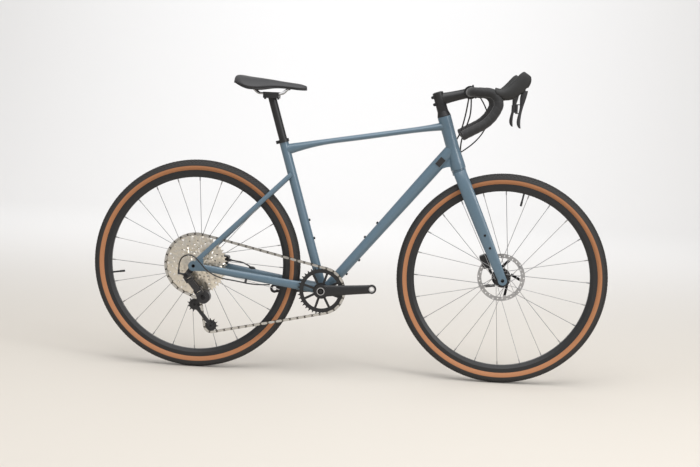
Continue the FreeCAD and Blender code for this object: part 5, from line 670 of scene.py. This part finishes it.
hoses = {name: hose(name, *facts) for name, facts in ROUTES.items()}
for name in ("rear_brake_hose_front", "shift_housing_front"):
    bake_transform(hoses[name])
    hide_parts("front_hoses")
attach(hoses["front_brake_hose_line"], "steering")
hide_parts("front_brake_hose")
for name in ("rear_brake_hose_end", "rear_shift_housing"):
    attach(hoses[name], "frame")
    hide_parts("rear_hoses")

# Hose fittings: moulded nylon cowls where hoses go into the fork, the down tube and the chainstay, and a
# six-sided nut of blackened steel at the rear calliper. Each cowl sits on the surface its hose goes into.
COWL_LENGTH, COWL_WIDTH, COWL_COVER, COWL_AHEAD, COWL_RINGS, COWL_SIDES = 12, 5, 4.2, 4, 12, 32
COWLS = {"fork_hose_cowl": ("steering", "fork", ("front_brake_hose_line",)),
         "port_hose_cowls": ("frame", "frame_fittings", ("rear_brake_hose_front", "shift_housing_front")),
         "stay_hose_cowl": ("frame", "chainstays", ("rear_brake_hose_end",))}
NUT_SHARES = ((0, -0.3), (0.9, -0.3), (1.0, -0.2), (1.0, 0.6), (0.9, 0.7), (0.68, 0.7), (0.66, 1.0), (0, 1.0))
NUT_RADIUS, NUT_LENGTH, NUT_SIDES = 4.6, 11, 6
arc = [math.pi * count / COWL_RINGS for count in range(1, COWL_RINGS)]
cowl_profile = [(0, 1)] + [(math.sin(turn), math.cos(turn)) for turn in arc] + [(0, -1)]
for name, (body, holder, ends) in COWLS.items():
    bm = bmesh.new()
    for end in ends:
        before, tip = [mm(*point) for point in ROUTES[end][1][-2:]]
        found, foot, out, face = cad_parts[holder].closest_point_on_mesh(tip)
        along = tip - before
        along = (along - out * along.dot(out)).normalized()
        turn = Matrix((along, out.cross(along), out)).transposed().to_4x4()
        height = (tip - foot).length + COWL_COVER * MM
        size = Matrix.Diagonal((COWL_LENGTH * MM, COWL_WIDTH * MM, height, 1))
        lathe(bm, Matrix.Translation(foot + along * (COWL_AHEAD * MM)) @ turn @ size, cowl_profile, COWL_SIDES)
    piece(name, bm, nylon, body)
bm = bmesh.new()
tip, after = [mm(*point) for point in ROUTES["rear_brake_hose_end"][1][:2]]
nut_profile = [(NUT_RADIUS * MM * reach, NUT_LENGTH * MM * rise) for reach, rise in NUT_SHARES]
lathe(bm, aimed(tip, after - tip), nut_profile, NUT_SIDES)
piece("calliper_hose_nut", bm, black_steel, "frame", crease=25)

# Studio: a pale floor that curves up into a white wall far behind, soft lamps above and beside, and the
# camera on the drive side, level with the bar.
SWEEP_HALF, SWEEP_FRONT, SWEEP_BACK, SWEEP_CURVE, SWEEP_TOP, SWEEP_STEPS = 34, -34, 6, 4, 11, 16
turns = [math.pi / 2 * count / SWEEP_STEPS for count in range(SWEEP_STEPS + 1)]
profile = [(SWEEP_FRONT, 0)] + [
    (SWEEP_BACK + SWEEP_CURVE * math.sin(turn), SWEEP_CURVE * (1 - math.cos(turn))) for turn in turns
] + [(SWEEP_BACK + SWEEP_CURVE, SWEEP_TOP)]
sweep_mesh = bpy.data.meshes.new("studio_sweep")
sweep_mesh.from_pydata([(side * SWEEP_HALF, y, z) for y, z in profile for side in (-1, 1)], [],
                       [(2 * n, 2 * n + 1, 2 * n + 3, 2 * n + 2) for n in range(len(profile) - 1)])
sweep_mesh.shade_smooth()
sweep = bpy.data.objects.new("studio_sweep", sweep_mesh)
bpy.context.scene.collection.objects.link(sweep)
pale, tree, shader, place = begin("matt_floor_paint", Roughness=0.7)
shader.inputs["Base Color"].default_value = linear("#D0CAC1")
sweep_mesh.materials.append(pale)

world = bpy.data.worlds.new("surround")
bpy.context.scene.world = world
world.use_nodes = True
world.node_tree.nodes["Background"].inputs["Color"].default_value = linear("#F4F4F5")
world.node_tree.nodes["Background"].inputs["Strength"].default_value = 0.62

# Each lamp: place, aim, size across, power and colour.
LAMPS = {
    "above": ((0.2, -1.2, 4.0), (0.0, 0.2, 0.4), 4.0, 160, "#FFFFFF"),
    "ahead": ((3.6, -3.0, 2.4), (0.2, 0, 0.6), 1.6, 70, "#FFFFFF"),
    "wall": ((-0.6, 4.5, 6.0), (-0.6, 9.5, 2.5), 6.0, 600, "#E2EDFF")}
for name, (at, aim, size, power, colour) in LAMPS.items():
    light = bpy.data.lights.new(f"{name}_lamp", "AREA")
    light.size, light.energy, light.color = size, power, linear(colour)[:3]
    lamp = bpy.data.objects.new(f"{name}_lamp", light)
    lamp.location = at
    lamp.rotation_euler = (Vector(aim) - Vector(at)).to_track_quat("-Z", "Y").to_euler()
    bpy.context.scene.collection.objects.link(lamp)

CAMERA_AT, CAMERA_TURNS = (0.2685, -4.4578, 0.9078), (0.0602, -0.0961, -0.0431)
PHOTO_WIDTH, FOCAL_PIXELS, SENSOR = 700, 1339.12, 36
yaw, pitch, roll = CAMERA_TURNS
turn = (Matrix.Rotation(yaw, 3, "Z") @ Matrix.Rotation(pitch, 3, "X") @ Matrix.Rotation(roll, 3, "Y"))
turn = turn @ Matrix.Rotation(math.radians(90), 3, "X")
lens = bpy.data.cameras.new("camera")
lens.sensor_width = SENSOR
lens.lens = FOCAL_PIXELS * SENSOR / PHOTO_WIDTH
camera = bpy.data.objects.new("camera", lens)
camera.matrix_world = Matrix.Translation(CAMERA_AT) @ turn.to_4x4()
bpy.context.scene.collection.objects.link(camera)
bpy.context.scene.camera = camera
bpy.context.scene.view_settings.view_transform = "Standard"
